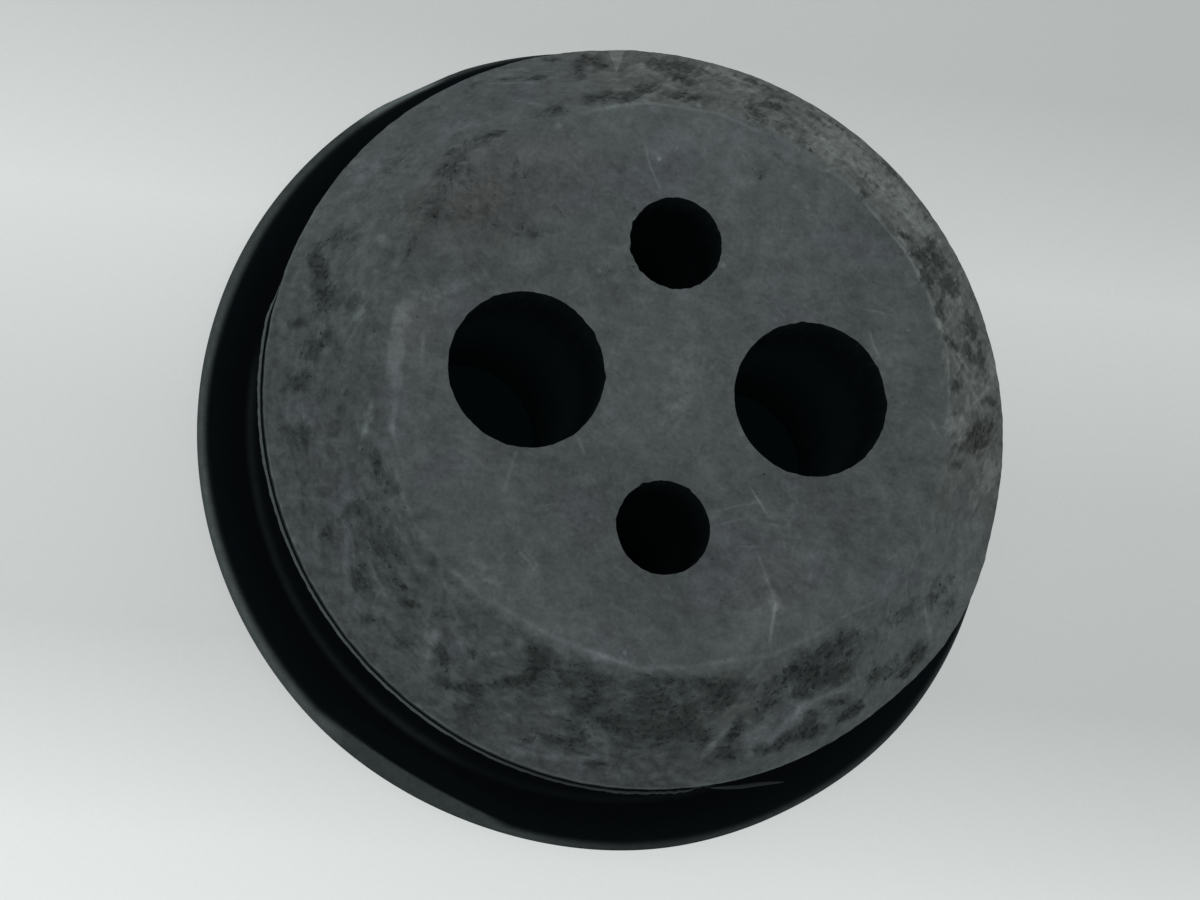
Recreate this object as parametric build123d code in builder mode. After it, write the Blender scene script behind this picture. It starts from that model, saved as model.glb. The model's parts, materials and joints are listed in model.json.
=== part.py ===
from build123d import *
import os

os.makedirs("parts", exist_ok=True)

# Moulded rubber grommet that carries four hoses through the wall of a tank.
# Lengths are in millimetres and angles in degrees. The flange lies flat, +Z
# points out of the plug end, and the origin is the centre of the flange's
# underside. The two hose bores lie on the X axis, the two vent bores on Y.

# Neck that sits in the hole of the tank wall, between flange and plug head
neck_diameter = 22.4
groove_width = 3.6
foot_fillet = 0.8

# Flange that stops outside the wall, with a nearly full round edge
flange_width = 2.35
flange_thickness = 2.1
flange_round = 1.0

# Plug head that is pushed through the wall: an upright land, then a taper
# up to the flat end face. The land's corners are square, where the mould parted
groove_depth = 1.05
land_height = 0.6
taper_height = 3.7
taper_run = 3.05
face_edge_round = 0.8

# Straight bores through the whole height, all on one pitch circle
bore_pitch_diameter = 9.2
hose_bore_diameter = 5.0
vent_bore_diameter = 3.0

# Lip of flash that the mould's parting line left on part of the land
flash_reach = 0.13
flash_thickness = 0.09
flash_tip_thickness = 0.04
flash_root = 0.3
flash_drop = 0.33
flash_start = 168.0
flash_arc = 114.0

neck_radius = neck_diameter / 2
flange_radius = neck_radius + flange_width
plug_radius = neck_radius + groove_depth
face_radius = plug_radius - taper_run
bore_pitch_radius = bore_pitch_diameter / 2
head_base = flange_thickness + groove_width
shoulder = head_base + land_height
total_height = shoulder + taper_height
rim_round = min(flange_round, 0.48 * flange_thickness)
square_corner = 0

with BuildPart() as grommet:
    # Half section, drawn from the centre of the underside out and up to the face
    with BuildSketch(Plane.XZ):
        with BuildLine():
            skin = FilletPolyline(
                (0, 0),
                (flange_radius, 0),
                (flange_radius, flange_thickness),
                (neck_radius, flange_thickness),
                (neck_radius, head_base),
                (plug_radius, head_base),
                (plug_radius, shoulder),
                (face_radius, total_height),
                (0, total_height),
                radius=[
                    rim_round,
                    rim_round,
                    foot_fillet,
                    square_corner,
                    square_corner,
                    square_corner,
                    face_edge_round,
                ],
            )
            Line(skin @ 1, skin @ 0)
        make_face()
    revolve(axis=Axis.Z)

    # Thin flash lip round part of the land, thinning to its torn edge
    lip_start = Plane(
        origin=(0, 0, shoulder - flash_drop),
        x_dir=Vector(1, 0, 0).rotate(Axis.Z, flash_start),
        z_dir=Vector(0, -1, 0).rotate(Axis.Z, flash_start),
    )
    with BuildSketch(lip_start):
        with BuildLine():
            Polyline(
                (plug_radius - flash_root, -flash_thickness / 2),
                (plug_radius, -flash_thickness / 2),
                (plug_radius + flash_reach, -flash_tip_thickness / 2),
                (plug_radius + flash_reach, flash_tip_thickness / 2),
                (plug_radius, flash_thickness / 2),
                (plug_radius - flash_root, flash_thickness / 2),
                close=True,
            )
        make_face()
    revolve(axis=Axis.Z, revolution_arc=flash_arc)

    # Bores for the hoses
    with PolarLocations(bore_pitch_radius, 2):
        Hole(hose_bore_diameter / 2)
    with PolarLocations(bore_pitch_radius, 2, start_angle=90):
        Hole(vent_bore_diameter / 2)

grommet.part.label = "grommet"
export_step(grommet.part, "parts/grommet.step")
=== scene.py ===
import json
import logging
import math
from collections.abc import Callable
from dataclasses import dataclass, field
from enum import Enum

import bmesh
import bpy
import numpy as np
from bpy.types import Material, Mesh
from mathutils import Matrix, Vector
from mathutils.geometry import delaunay_2d_cdt


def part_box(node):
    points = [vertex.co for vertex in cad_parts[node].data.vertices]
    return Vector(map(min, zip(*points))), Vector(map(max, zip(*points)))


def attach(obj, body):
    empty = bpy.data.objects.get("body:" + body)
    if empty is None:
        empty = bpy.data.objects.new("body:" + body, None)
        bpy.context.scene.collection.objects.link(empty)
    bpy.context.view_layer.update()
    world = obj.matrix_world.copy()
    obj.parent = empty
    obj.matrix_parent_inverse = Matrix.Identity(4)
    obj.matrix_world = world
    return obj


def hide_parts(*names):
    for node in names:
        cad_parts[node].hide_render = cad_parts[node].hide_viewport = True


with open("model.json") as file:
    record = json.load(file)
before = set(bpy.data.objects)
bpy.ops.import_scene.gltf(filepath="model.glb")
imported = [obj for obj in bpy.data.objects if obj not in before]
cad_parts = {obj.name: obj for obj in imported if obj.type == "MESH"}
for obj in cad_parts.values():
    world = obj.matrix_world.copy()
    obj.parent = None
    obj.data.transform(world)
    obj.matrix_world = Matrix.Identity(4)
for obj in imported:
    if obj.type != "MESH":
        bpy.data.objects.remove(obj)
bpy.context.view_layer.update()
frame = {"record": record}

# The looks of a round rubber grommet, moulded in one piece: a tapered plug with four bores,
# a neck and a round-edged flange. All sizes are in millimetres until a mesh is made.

MM = 0.001
FULL_TURN = 2 * math.pi
# The exponent that turns a tone as it is seen into light
TONE_TO_LIGHT = 2.2
log = logging.getLogger("grommet")


# Named options

class Body(Enum):
    """The body that a piece rides on."""

    ROOT = "root"


class Slot(Enum):
    """The record's material slots."""

    BLACK_RUBBER = "black_rubber"


class Skin(Enum):
    """The finishes on the moulding, in the order of its material slots."""

    SCUFFED = 0
    CLEAN = 1
    BORE = 2
    LIP = 3


# Sums that many parts use

def smooth_step(low: float, high: float, value: np.ndarray) -> np.ndarray:
    """Rises softly from 0 to 1.

    Args:
        low: where the rise starts.
        high: where it ends; it may be the smaller of the two.
        value: the numbers to map.

    Returns:
        The mapped numbers.
    """
    share = np.clip((value - low) / (high - low), 0.0, 1.0)
    return share * share * (3.0 - 2.0 * share)


def bearing(x: np.ndarray, y: np.ndarray) -> np.ndarray:
    """Returns the bearing of each point round the grommet's axis, in degrees."""
    return np.degrees(np.arctan2(y, x))


def turn_gap(angle: np.ndarray, centre: float) -> np.ndarray:
    """Returns how far each bearing lies from a centre, from -180 to 180 degrees."""
    return (angle - centre + 180.0) % 360.0 - 180.0


def sector(angle: np.ndarray, centre: float, far: float, near: float) -> np.ndarray:
    """Gives 1 round a bearing, falling softly to 0 beyond it.

    Args:
        angle: bearings in degrees.
        centre: the bearing in the middle.
        far: the gap from it at which the result is 0.
        near: the gap up to which the result is 1.

    Returns:
        The share at each bearing.
    """
    return smooth_step(far, near, np.abs(turn_gap(angle, centre)))


def new_object(name: str, data: bpy.types.ID) -> bpy.types.Object:
    """Adds an object to the scene.

    Args:
        name: its name.
        data: its mesh, lamp or camera.

    Returns:
        The object.
    """
    made = bpy.data.objects.new(name, data)
    bpy.context.scene.collection.objects.link(made)
    return made


# Sizes of the grommet

@dataclass(frozen=True)
class Bore:
    """A round bore, straight through the moulding."""

    x: float
    y: float
    radius: float


@dataclass(frozen=True)
class GrommetSizes:
    """The moulding's own sizes, with the outer ones read from the frame."""

    flange_radius: float
    height: float
    bores: tuple
    plug_radius: float = 12.25
    face_radius: float = 9.2
    face_round: float = 0.8
    shoulder: float = 6.3
    head_base: float = 5.7
    neck_radius: float = 11.2
    foot_round: float = 0.8
    flange_thickness: float = 2.1
    rim_round: float = 1.0

    @classmethod
    def from_frame(cls) -> "GrommetSizes":
        """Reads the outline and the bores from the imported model.

        Returns:
            The sizes of the moulding.
        """
        low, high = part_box("grommet")
        bores = tuple(
            Bore(m["pos_m"][0] / MM, m["pos_m"][1] / MM, m["dims"]["r_mm"])
            for m in frame["record"]["mounts"]
            if m["kind"] == "bore"
        )
        return cls(flange_radius=high.x / MM, height=(high.z - low.z) / MM, bores=bores)

    @property
    def rim_centre(self) -> float:
        """Returns the distance from the axis at which the flange's round edge is centred."""
        return self.flange_radius - self.rim_round

    @property
    def rim_top(self) -> float:
        """Returns the height at which the upper rounding of the flange's edge is centred."""
        return self.flange_thickness - self.rim_round

    def top_height(self, radius: np.ndarray) -> np.ndarray:
        """Gives the height of the face and the taper.

        Args:
            radius: distances from the axis.

        Returns:
            The height above the base at each distance.
        """
        run = self.plug_radius - self.face_radius
        drop = self.height - self.shoulder
        slope = math.atan2(drop, run)
        tangent = self.face_round * math.tan(slope / 2)
        start = self.face_radius - tangent
        end = self.face_radius + tangent * math.cos(slope)
        inside = np.clip(radius - start, 0.0, end - start)
        arc = self.height - self.face_round + np.sqrt(self.face_round**2 - inside**2)
        taper = self.height - (radius - self.face_radius) * drop / run
        return np.where(radius > end, taper, np.where(radius < start, self.height, arc))

    def wall_gap(self, flat: np.ndarray) -> np.ndarray:
        """Gives the distance from each plan point to the nearest bore's wall.

        Args:
            flat: plan points.

        Returns:
            The distances, below zero inside a bore.
        """
        gaps = [np.hypot(flat[:, 0] - b.x, flat[:, 1] - b.y) - b.radius for b in self.bores]
        return np.min(gaps, axis=0)

    def side_outline(self) -> list:
        """Lists the side's outline from the plug edge down to the base.

        Returns:
            Points of radius and height.
        """
        def straight(a: tuple, b: tuple, steps: int) -> list:
            """Gives evenly spaced points on a straight line.

            Args:
                a: the start, which is left out.
                b: the end.
                steps: how many points.

            Returns:
                The points.
            """
            return [
                (a[0] + (b[0] - a[0]) * k / steps, a[1] + (b[1] - a[1]) * k / steps)
                for k in range(1, steps + 1)
            ]

        def arc(centre: tuple, radius: float, start: float, sweep: float, steps: int) -> list:
            """Gives evenly spaced points on an arc.

            Args:
                centre: its centre.
                radius: its radius.
                start: the angle of its start, in degrees. That point is left out.
                sweep: the angle it goes through, in degrees.
                steps: how many points.

            Returns:
                The points.
            """
            angles = [math.radians(start + sweep * k / steps) for k in range(1, steps + 1)]
            return [
                (centre[0] + radius * math.cos(a), centre[1] + radius * math.sin(a))
                for a in angles
            ]

        foot = (self.neck_radius + self.foot_round, self.flange_thickness + self.foot_round)
        outline = [(self.plug_radius, self.shoulder)]
        outline += straight(outline[-1], (self.plug_radius, self.head_base), 6)
        outline += straight(outline[-1], (self.neck_radius, self.head_base), 4)
        outline += straight(outline[-1], (self.neck_radius, foot[1]), 4)
        outline += arc(foot, self.foot_round, 180, 90, 6)
        outline += straight(outline[-1], (self.rim_centre, self.flange_thickness), 3)
        outline += arc((self.rim_centre, self.rim_top), self.rim_round, 90, -90, 14)
        outline += arc((self.rim_centre, self.rim_round), self.rim_round, 0, -90, 8)
        return outline


# Node trees

def math_method(operation: str, swapped: bool = False) -> Callable:
    """Makes an operator of Wire that writes one Math node.

    Args:
        operation: the Math node's operation.
        swapped: whether the other number comes first.

    Returns:
        The method.
    """
    def method(self: "Wire", other: "Wire | float") -> "Wire":
        """Returns the node's result for the wire and another number."""
        first, second = (other, self) if swapped else (self, other)
        return self.book.sum(operation, first, second)

    return method


class Wire:
    """A socket of a node tree that takes part in Python sums."""

    def __init__(self, book: "NodeBook", socket: bpy.types.NodeSocket) -> None:
        """Keeps the socket and the tree it belongs to."""
        self.book = book
        self.socket = socket

    __add__ = math_method("ADD")
    __radd__ = math_method("ADD", swapped=True)
    __sub__ = math_method("SUBTRACT")
    __rsub__ = math_method("SUBTRACT", swapped=True)
    __mul__ = math_method("MULTIPLY")
    __rmul__ = math_method("MULTIPLY", swapped=True)
    __truediv__ = math_method("DIVIDE")
    __rtruediv__ = math_method("DIVIDE", swapped=True)
    __pow__ = math_method("POWER")
    __mod__ = math_method("MODULO")


class NodeBook:
    """Writes nodes into one shader or geometry tree."""

    def __init__(self, tree: bpy.types.NodeTree) -> None:
        """Keeps the tree."""
        self.tree = tree

    def node(self, kind: str, settings: dict | None = None,
             sockets: dict | None = None) -> bpy.types.Node:
        """Adds one node.

        Args:
            kind: the node's type.
            settings: its own settings, set before its sockets.
            sockets: values or wires for its inputs, by name or by place.

        Returns:
            The new node.
        """
        made = self.tree.nodes.new(kind)
        for name, value in (settings or {}).items():
            if name == "stops":
                self._set_stops(made.color_ramp, value)
            else:
                setattr(made, name, value)
        for key, value in (sockets or {}).items():
            if isinstance(value, Wire):
                self.tree.links.new(value.socket, made.inputs[key])
            elif value is not None:
                made.inputs[key].default_value = value
        return made

    @staticmethod
    def _set_stops(ramp: bpy.types.ColorRamp, stops: tuple) -> None:
        """Sets the stops of a grey ramp.

        Args:
            ramp: the ramp.
            stops: pairs of place and grey level.
        """
        while len(ramp.elements) < len(stops):
            ramp.elements.new(0.5)
        for element, (place, level) in zip(ramp.elements, stops):
            element.position = place
            element.color = (level, level, level, 1.0)

    def wire(self, kind: str, settings: dict | None = None, sockets: dict | None = None,
             out: int | str = 0) -> Wire:
        """Adds one node and gives one of its outputs.

        Args:
            kind: the node's type.
            settings: its own settings.
            sockets: values or wires for its inputs.
            out: the output's name or place.

        Returns:
            The output as a wire.
        """
        return Wire(self, self.node(kind, settings, sockets).outputs[out])

    def sum(self, operation: str, a: Wire | float, b: Wire | float | None = None) -> Wire:
        """Returns a Math node's result for one or two values."""
        return self.wire("ShaderNodeMath", {"operation": operation}, {0: a, 1: b})

    def vector(self, operation: str, a: Wire, b: Wire | tuple | None = None) -> Wire:
        """Returns a Vector Math node's vector."""
        return self.wire("ShaderNodeVectorMath", {"operation": operation}, {0: a, 1: b})

    def scaled(self, vector: Wire, factor: Wire | float) -> Wire:
        """Returns a vector times a number."""
        return self.wire("ShaderNodeVectorMath", {"operation": "SCALE"},
                         {0: vector, "Scale": factor})

    def xyz(self, x: Wire | float = 0.0, y: Wire | float = 0.0, z: Wire | float = 0.0) -> Wire:
        """Returns three numbers joined to a vector or a colour."""
        return self.wire("ShaderNodeCombineXYZ", {}, {0: x, 1: y, 2: z})

    def split(self, vector: Wire) -> tuple:
        """Returns the three numbers of a vector."""
        parts = self.node("ShaderNodeSeparateXYZ", {}, {0: vector})
        return tuple(Wire(self, part) for part in parts.outputs)

    def step(self, value: Wire, low: Wire | float, high: Wire | float,
             kind: str = "SMOOTHSTEP") -> Wire:
        """Returns a rise from 0 at low to 1 at high."""
        return self.wire("ShaderNodeMapRange", {"interpolation_type": kind},
                         {0: value, 1: low, 2: high, 3: 0.0, 4: 1.0})

    def noise(self, place: Wire, scale: float, detail: float = 4.0, rough: float = 0.55,
              bend: float = 0.0) -> Wire:
        """Returns a noise texture's value, from 0 to 1."""
        return self.wire("ShaderNodeTexNoise", {"noise_dimensions": "3D"},
                         {"Vector": place, "Scale": scale, "Detail": detail,
                          "Roughness": rough, "Distortion": bend})

    def map(self, place: Wire, turn: float, stretch: tuple, shift: tuple = (0, 0, 0)) -> Wire:
        """Returns the place turned about Z by degrees, then stretched and shifted."""
        turned = self.wire("ShaderNodeVectorRotate", {"rotation_type": "Z_AXIS"},
                           {"Vector": place, "Angle": math.radians(turn)})
        return self.vector("ADD", self.vector("MULTIPLY", turned, stretch), shift)

    def attribute(self, name: str) -> Wire:
        """Returns a vertex attribute of the mesh."""
        return self.wire("ShaderNodeAttribute", {"attribute_name": name}, {}, "Fac")

    def blend(self, factor: Wire | float, first: Wire | tuple, second: Wire | tuple) -> Wire:
        """Returns a mix of two colours, each a wire or three numbers."""
        first, second = (c if isinstance(c, Wire) else (*c, 1.0) for c in (first, second))
        return self.wire("ShaderNodeMix", {"data_type": "RGBA"}, {0: factor, 6: first, 7: second}, 2)

    def bump(self, height: Wire, strength: float, distance: float) -> Wire:
        """Returns the normal of a surface that a height dents by a distance in millimetres."""
        return self.wire("ShaderNodeBump", {},
                         {"Strength": strength, "Distance": distance * MM, "Height": height})

    def surface(self, shader: Wire) -> None:
        """Ends a material in its shader."""
        output = self.node("ShaderNodeOutputMaterial")
        self.tree.links.new(shader.socket, output.inputs["Surface"])


def new_material(name: str) -> tuple:
    """Starts a material with node shading.

    Args:
        name: the material's name.

    Returns:
        The material, its node book and its object coordinates in millimetres.
    """
    material = bpy.data.materials.new(name)
    material.use_nodes = True
    material.node_tree.nodes.clear()
    book = NodeBook(material.node_tree)
    coords = book.wire("ShaderNodeTexCoord", {}, {}, "Object")
    place = book.vector("MULTIPLY", coords, (1 / MM, 1 / MM, 1 / MM))
    return material, book, place


# Finishes

@dataclass(frozen=True)
class Finish:
    """A rubber surface: a name, a plain roughness and the strength of its reflection."""

    name: str = "rubber"
    roughness: float = 0.7
    specular: float = 0.0

    def paint(self, book: NodeBook, place: Wire) -> tuple:
        """Works out the surface. Each finish has its own way to.

        Args:
            book: the material's nodes.
            place: object coordinates in millimetres.

        Returns:
            The colour, the roughness and the bumped normal, which may be None.
        """
        raise NotImplementedError

    def build(self) -> Material:
        """Builds the material.

        Returns:
            The material.
        """
        material, book, place = new_material(self.name)
        colour, rough, normal = self.paint(book, place)
        book.surface(book.wire("ShaderNodeBsdfPrincipled", {}, {
            "Base Color": colour, "Roughness": rough, "Normal": normal,
            "Specular IOR Level": self.specular}))
        return material


@dataclass(frozen=True)
class ScuffedRubber(Finish):
    """The chalky, rubbed skin of the face and the taper.

    The tints are colours that the grey is multiplied by. The shares say how much of a
    tone, or how far up or down in tone, each kind of wear goes.
    """

    name: str = "scuffed_rubber"
    roughness: float = 0.75
    specular: float = 0.1
    tint: tuple = (0.875, 1.0, 0.985)
    cool_tint: tuple = (0.915, 1.0, 1.055)
    warm_tint: tuple = (0.925, 1.0, 0.955)
    brown_tint: tuple = (0.98, 1.0, 0.99)
    green_tint: tuple = (0.83, 1.0, 0.975)
    gain: float = 0.93
    darkest: float = 0.03
    mottle_share: float = 0.15
    fine_share: float = 0.11
    smudge_share: float = 0.10
    grain_share: float = 0.05
    pale_share: float = 0.06
    line_share: float = 0.115
    dust_share: float = 0.02
    speck_share: float = 0.04
    veil_share: float = 0.36
    pit_share: float = 0.38

    def paint(self, book: NodeBook, place: Wire) -> tuple:
        """Works out the scuffed surface from the wear that the mesh carries.

        Args:
            book: the material's nodes.
            place: object coordinates in millimetres.

        Returns:
            The colour, the roughness and the bumped normal.
        """
        tone, bare, rub, line, warm, slant, round_way = (
            book.attribute(name)
            for name in ("tone", "bare", "rub", "line", "warm", "slant", "round_way")
        )
        slanted = book.map(place, -47.0, (0.9, 3.4, 1.2))
        along, across, _ = book.split(book.map(place, -225.0, (1, 1, 1)))
        around = book.sum("ARCTAN2", across, along)
        reach = book.sum("SQRT", along * along + across * across)
        polar = book.xyz(reach * 2.6, around * 9.0)

        slant_grain = book.noise(slanted, 1.5, 5.0, 0.60, 0.25)
        round_grain = book.noise(polar, 1.25, 5.0, 0.68, 0.3)
        blot_grain = book.noise(place, 2.3, 6.0, 0.7, 0.35)
        grain = (slant_grain * slant + round_grain * round_way
                 + blot_grain * (1.0 - slant - round_way))
        mottle = book.noise(place, 0.9, 6.0, 0.62)
        fine = book.noise(place, 7.0, 4.0, 0.65)
        smudge = book.noise(book.map(place, 25.0, (1, 1.3, 1), (7, 3, 9)), 2.4, 3.0, 0.5, 0.5)
        speck = book.noise(book.map(place, 0.0, (1, 1, 1), (31, 17, 5)), 5.5, 3.0, 0.55)

        veil = book.step(bare + (grain - 0.5) * 1.7, 0.2, 0.95)
        pits = book.step(bare * 0.7 + (speck - 0.5) * 2.6, 0.60, 0.86)
        pale = book.step(rub + (grain - 0.5) * -1.6, 0.30, 0.9)
        specks = book.step(speck, 0.68, 0.78)
        dust = book.step(speck, 0.27, 0.22)
        level = (tone + (mottle - 0.5) * self.mottle_share
                 + (fine - 0.5) * (self.fine_share - slant * 0.05)
                 + (smudge - 0.5) * (self.smudge_share + (slant + round_way) * 0.08)
                 - (grain - 0.5) * (self.grain_share + slant * 0.13 + round_way * 0.07))
        level = level + pale * self.pale_share + line * self.line_share + dust * self.dust_share
        softer = 1.0 - round_way * 0.3
        level = ((level - specks * self.speck_share) * (1.0 - veil * self.veil_share * softer)
                 * (1.0 - pits * self.pit_share * softer))
        light = (book.sum("MAXIMUM", level, self.darkest) ** TONE_TO_LIGHT) * self.gain

        hue = book.noise(place, 0.35, 2.5, 0.5, 0.4)
        tint = book.blend(book.step(hue, 0.35, 0.65), self.cool_tint, self.tint)
        tint = book.blend(slant * 0.8, tint, self.warm_tint)
        tint = book.blend(veil * 0.8, tint, self.green_tint)
        tint = book.blend(warm * 0.8, tint, self.brown_tint)
        colour = book.vector("MULTIPLY", tint, book.xyz(light, light, light))
        bump = book.bump(fine * 0.5 - grain * 0.3 - veil * 0.25 - pits * 0.3, 0.3, 0.03)
        return colour, self.roughness + (grain - 0.5) * 0.2 - veil * 0.1, bump


@dataclass(frozen=True)
class CleanRubber(Finish):
    """The unworn black skin of the groove, the flange and the underside."""

    name: str = "clean_rubber"
    black: tuple = (0.0030, 0.0042, 0.0048)
    # grey is the colour of the painted reflection and highlights.
    grey: tuple = (0.132, 0.150, 0.152)

    def paint(self, book: NodeBook, place: Wire) -> tuple:
        """Works out a black surface, painted grey in places as painted reflection and painted
        highlights.

        Args:
            book: the material's nodes.
            place: object coordinates in millimetres.

        Returns:
            The colour, the roughness and the bumped normal.
        """
        grain = book.noise(place, 3.0, 5.0, 0.6)
        fine = book.noise(place, 14.0, 3.0, 0.5)
        share = book.attribute("painted_sheen") * (0.75 + (grain - 0.5) * 0.7 + (fine - 0.5) * 0.3)
        bump = book.bump(grain + fine * 0.4, 0.2, 0.02)
        rough = self.roughness + (grain - 0.5) * 0.15
        return book.blend(share, self.black, self.grey), rough, bump


@dataclass(frozen=True)
class BoreRubber(Finish):
    """The deep black wall of a bore, painted lighter lower down: painted light where the bore lies
    deepest in shade.
    """

    name: str = "bore_rubber"
    roughness: float = 0.75
    black: tuple = (0.0055, 0.0085, 0.0095)
    lighter: tuple = (0.009, 0.0125, 0.0135)
    painted_deep_light: tuple = (0.030, 0.052, 0.058)
    painted_light_from: float = 8.5
    painted_light_full: float = 3.5

    def paint(self, book: NodeBook, place: Wire) -> tuple:
        """Works out the wall's colour from its grain and its depth.

        Args:
            book: the material's nodes.
            place: object coordinates in millimetres.

        Returns:
            The colour, the roughness and no bump.
        """
        grain = book.noise(book.map(place, 0.0, (2.0, 2.0, 0.4)), 2.0)
        colour = book.blend(book.step(grain, 0.45, 0.7), self.black, self.lighter)
        # Lower down the wall is painted lighter, painted light that makes up for the shade deep in
        # the bore.
        deep = book.step(book.split(place)[2], self.painted_light_from, self.painted_light_full)
        return book.blend(deep, colour, self.painted_deep_light), self.roughness, None


@dataclass(frozen=True)
class LipRubber(Finish):
    """The grey torn flash along the plug's edge."""

    name: str = "lip_rubber"
    specular: float = 0.1
    dark: tuple = (0.006, 0.0075, 0.008)
    # pale is the lip's grey and also carries its painted highlight.
    pale: tuple = (0.105, 0.122, 0.122)

    def paint(self, book: NodeBook, place: Wire) -> tuple:
        """Works out the lip's grey from its wear attribute, painted paler on the near left as a
        painted highlight.

        Args:
            book: the material's nodes.
            place: object coordinates in millimetres.

        Returns:
            The colour, the roughness and no bump.
        """
        grain = book.noise(place, 4.0, 5.0, 0.6)
        share = book.attribute("wear") * (0.8 + (grain - 0.5) * 0.8)
        return book.blend(share, self.dark, self.pale), self.roughness, None


# Shapes that Geometry Nodes make

class GeometryTree:
    """A Geometry Nodes tree with named inputs, run once on an object."""

    def __init__(self, name: str) -> None:
        """Starts the tree with a geometry input and output.

        Args:
            name: the tree's name.
        """
        self.tree = bpy.data.node_groups.new(name, "GeometryNodeTree")
        self.book = NodeBook(self.tree)
        for way in ("OUTPUT", "INPUT"):
            self.tree.interface.new_socket("Geometry", in_out=way, socket_type="NodeSocketGeometry")
        self.values: dict = {}
        self.source = self.book.node("NodeGroupInput")

    def input(self, name: str, kind: str, value: float | Material) -> Wire:
        """Adds a named input.

        Args:
            name: the input's name.
            kind: Float, Int or Material.
            value: what it is set to.

        Returns:
            The input as a wire.
        """
        item = self.tree.interface.new_socket(name, in_out="INPUT", socket_type="NodeSocket" + kind)
        self.values[item.identifier] = value
        return Wire(self.book, self.source.outputs[name])

    def geometry(self) -> Wire:
        """Returns the incoming geometry."""
        return Wire(self.book, self.source.outputs["Geometry"])

    def close(self, geometry: Wire, finish: Wire) -> None:
        """Ends the tree in Realize Instances and Set Material.

        Args:
            geometry: the finished shape.
            finish: its material.
        """
        real = self.book.wire("GeometryNodeRealizeInstances", {}, {"Geometry": geometry})
        dressed = self.book.wire("GeometryNodeSetMaterial", {},
                                 {"Geometry": real, "Material": finish})
        self.book.node("NodeGroupOutput", {}, {0: dressed})

    def run(self, start: Mesh) -> Mesh:
        """Runs the tree on a mesh.

        Args:
            start: the mesh that goes in.

        Returns:
            The resulting plain mesh.
        """
        holder = new_object(self.tree.name, start)
        modifier = holder.modifiers.new("shape", "NODES")
        modifier.node_group = self.tree
        for identifier, value in self.values.items():
            modifier[identifier] = value
        seen = holder.evaluated_get(bpy.context.evaluated_depsgraph_get())
        result = bpy.data.meshes.new_from_object(seen)
        holder.modifiers.remove(modifier)
        bpy.data.objects.remove(holder)
        return result


def ring_position(book: NodeBook, reach: Wire | float, turn: Wire, height: Wire) -> Wire:
    """Returns the point at a distance from the axis, a turn in radians and a height."""
    return book.xyz(reach * book.sum("COSINE", turn), reach * book.sum("SINE", turn), height)


def point_mesh(name: str, points: list, edges: list | None = None) -> Mesh:
    """Makes a mesh of points in millimetres, which edges may join.

    Args:
        name: the mesh's name.
        points: the points.
        edges: pairs of point numbers.

    Returns:
        The mesh.
    """
    mesh = bpy.data.meshes.new(name)
    mesh.from_pydata([[c * MM for c in point] for point in points], edges or [], [])
    return mesh


@dataclass
class MouldedSide:
    """The turned side of the moulding, from the plug's edge to the base."""

    sizes: GrommetSizes
    columns: int = 720
    edge_wobble: float = 0.06
    wobble_above: float = 0.1
    noise_reach: float = 9.0
    weld: float = 0.0005
    seed: int = 11

    def build(self, finish: Material) -> Mesh:
        """Turns the side's outline round the axis.

        Args:
            finish: the material of the side.

        Returns:
            The side as an open tube whose first row is the plug's edge.
        """
        sizes = self.sizes
        shape = GeometryTree("moulded_side")
        columns = shape.input("Columns", "Int", self.columns)
        wobble = shape.input("Edge wobble", "Float", self.edge_wobble * MM)
        low = shape.input("Wobble starts at", "Float", (sizes.head_base + self.wobble_above) * MM)
        high = shape.input("Wobble full at", "Float", sizes.shoulder * MM)
        seed = shape.input("Seed", "Int", self.seed)
        material = shape.input("Finish", "Material", finish)
        book = shape.book
        outline = shape.geometry()
        rows = book.wire("GeometryNodeAttributeDomainSize", {}, {0: outline}, "Point Count")
        grid = book.wire("GeometryNodeMeshGrid", {}, {"Vertices X": columns + 1.0,
                                                      "Vertices Y": rows}, "Mesh")
        index = book.wire("GeometryNodeInputIndex")
        column = book.sum("FLOOR", (index + 0.5) / rows)
        corner = book.wire("GeometryNodeSampleIndex", {"data_type": "FLOAT_VECTOR"}, {
            "Geometry": outline, "Value": book.wire("GeometryNodeInputPosition"),
            "Index": index % rows})
        radius, _, height = book.split(corner)
        turn = (column % columns) / columns * FULL_TURN
        ring = ring_position(book, self.noise_reach, turn, seed * 3.7)
        coarse = book.noise(ring, 0.9, 2.0, 0.5)
        teeth = book.noise(ring, 2.6, 3.0, 0.65)
        near_edge = book.step(height, low, high, "LINEAR")
        cut = near_edge * wobble * (coarse * 0.7 + teeth * 1.3 - 1.0)
        place = ring_position(book, radius - cut, turn, height)
        moved = book.wire("GeometryNodeSetPosition", {}, {"Geometry": grid, "Position": place})
        merged = book.wire("GeometryNodeMergeByDistance", {},
                           {"Geometry": moved, "Distance": self.weld * MM})
        shape.close(merged, material)
        return shape.run(point_mesh("outline", [(r, 0.0, z) for r, z in sizes.side_outline()]))


@dataclass(frozen=True)
class Nick:
    """A small bite out of the mouth of a bore."""

    bore: int
    bearing: float
    width: float
    depth: float


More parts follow.
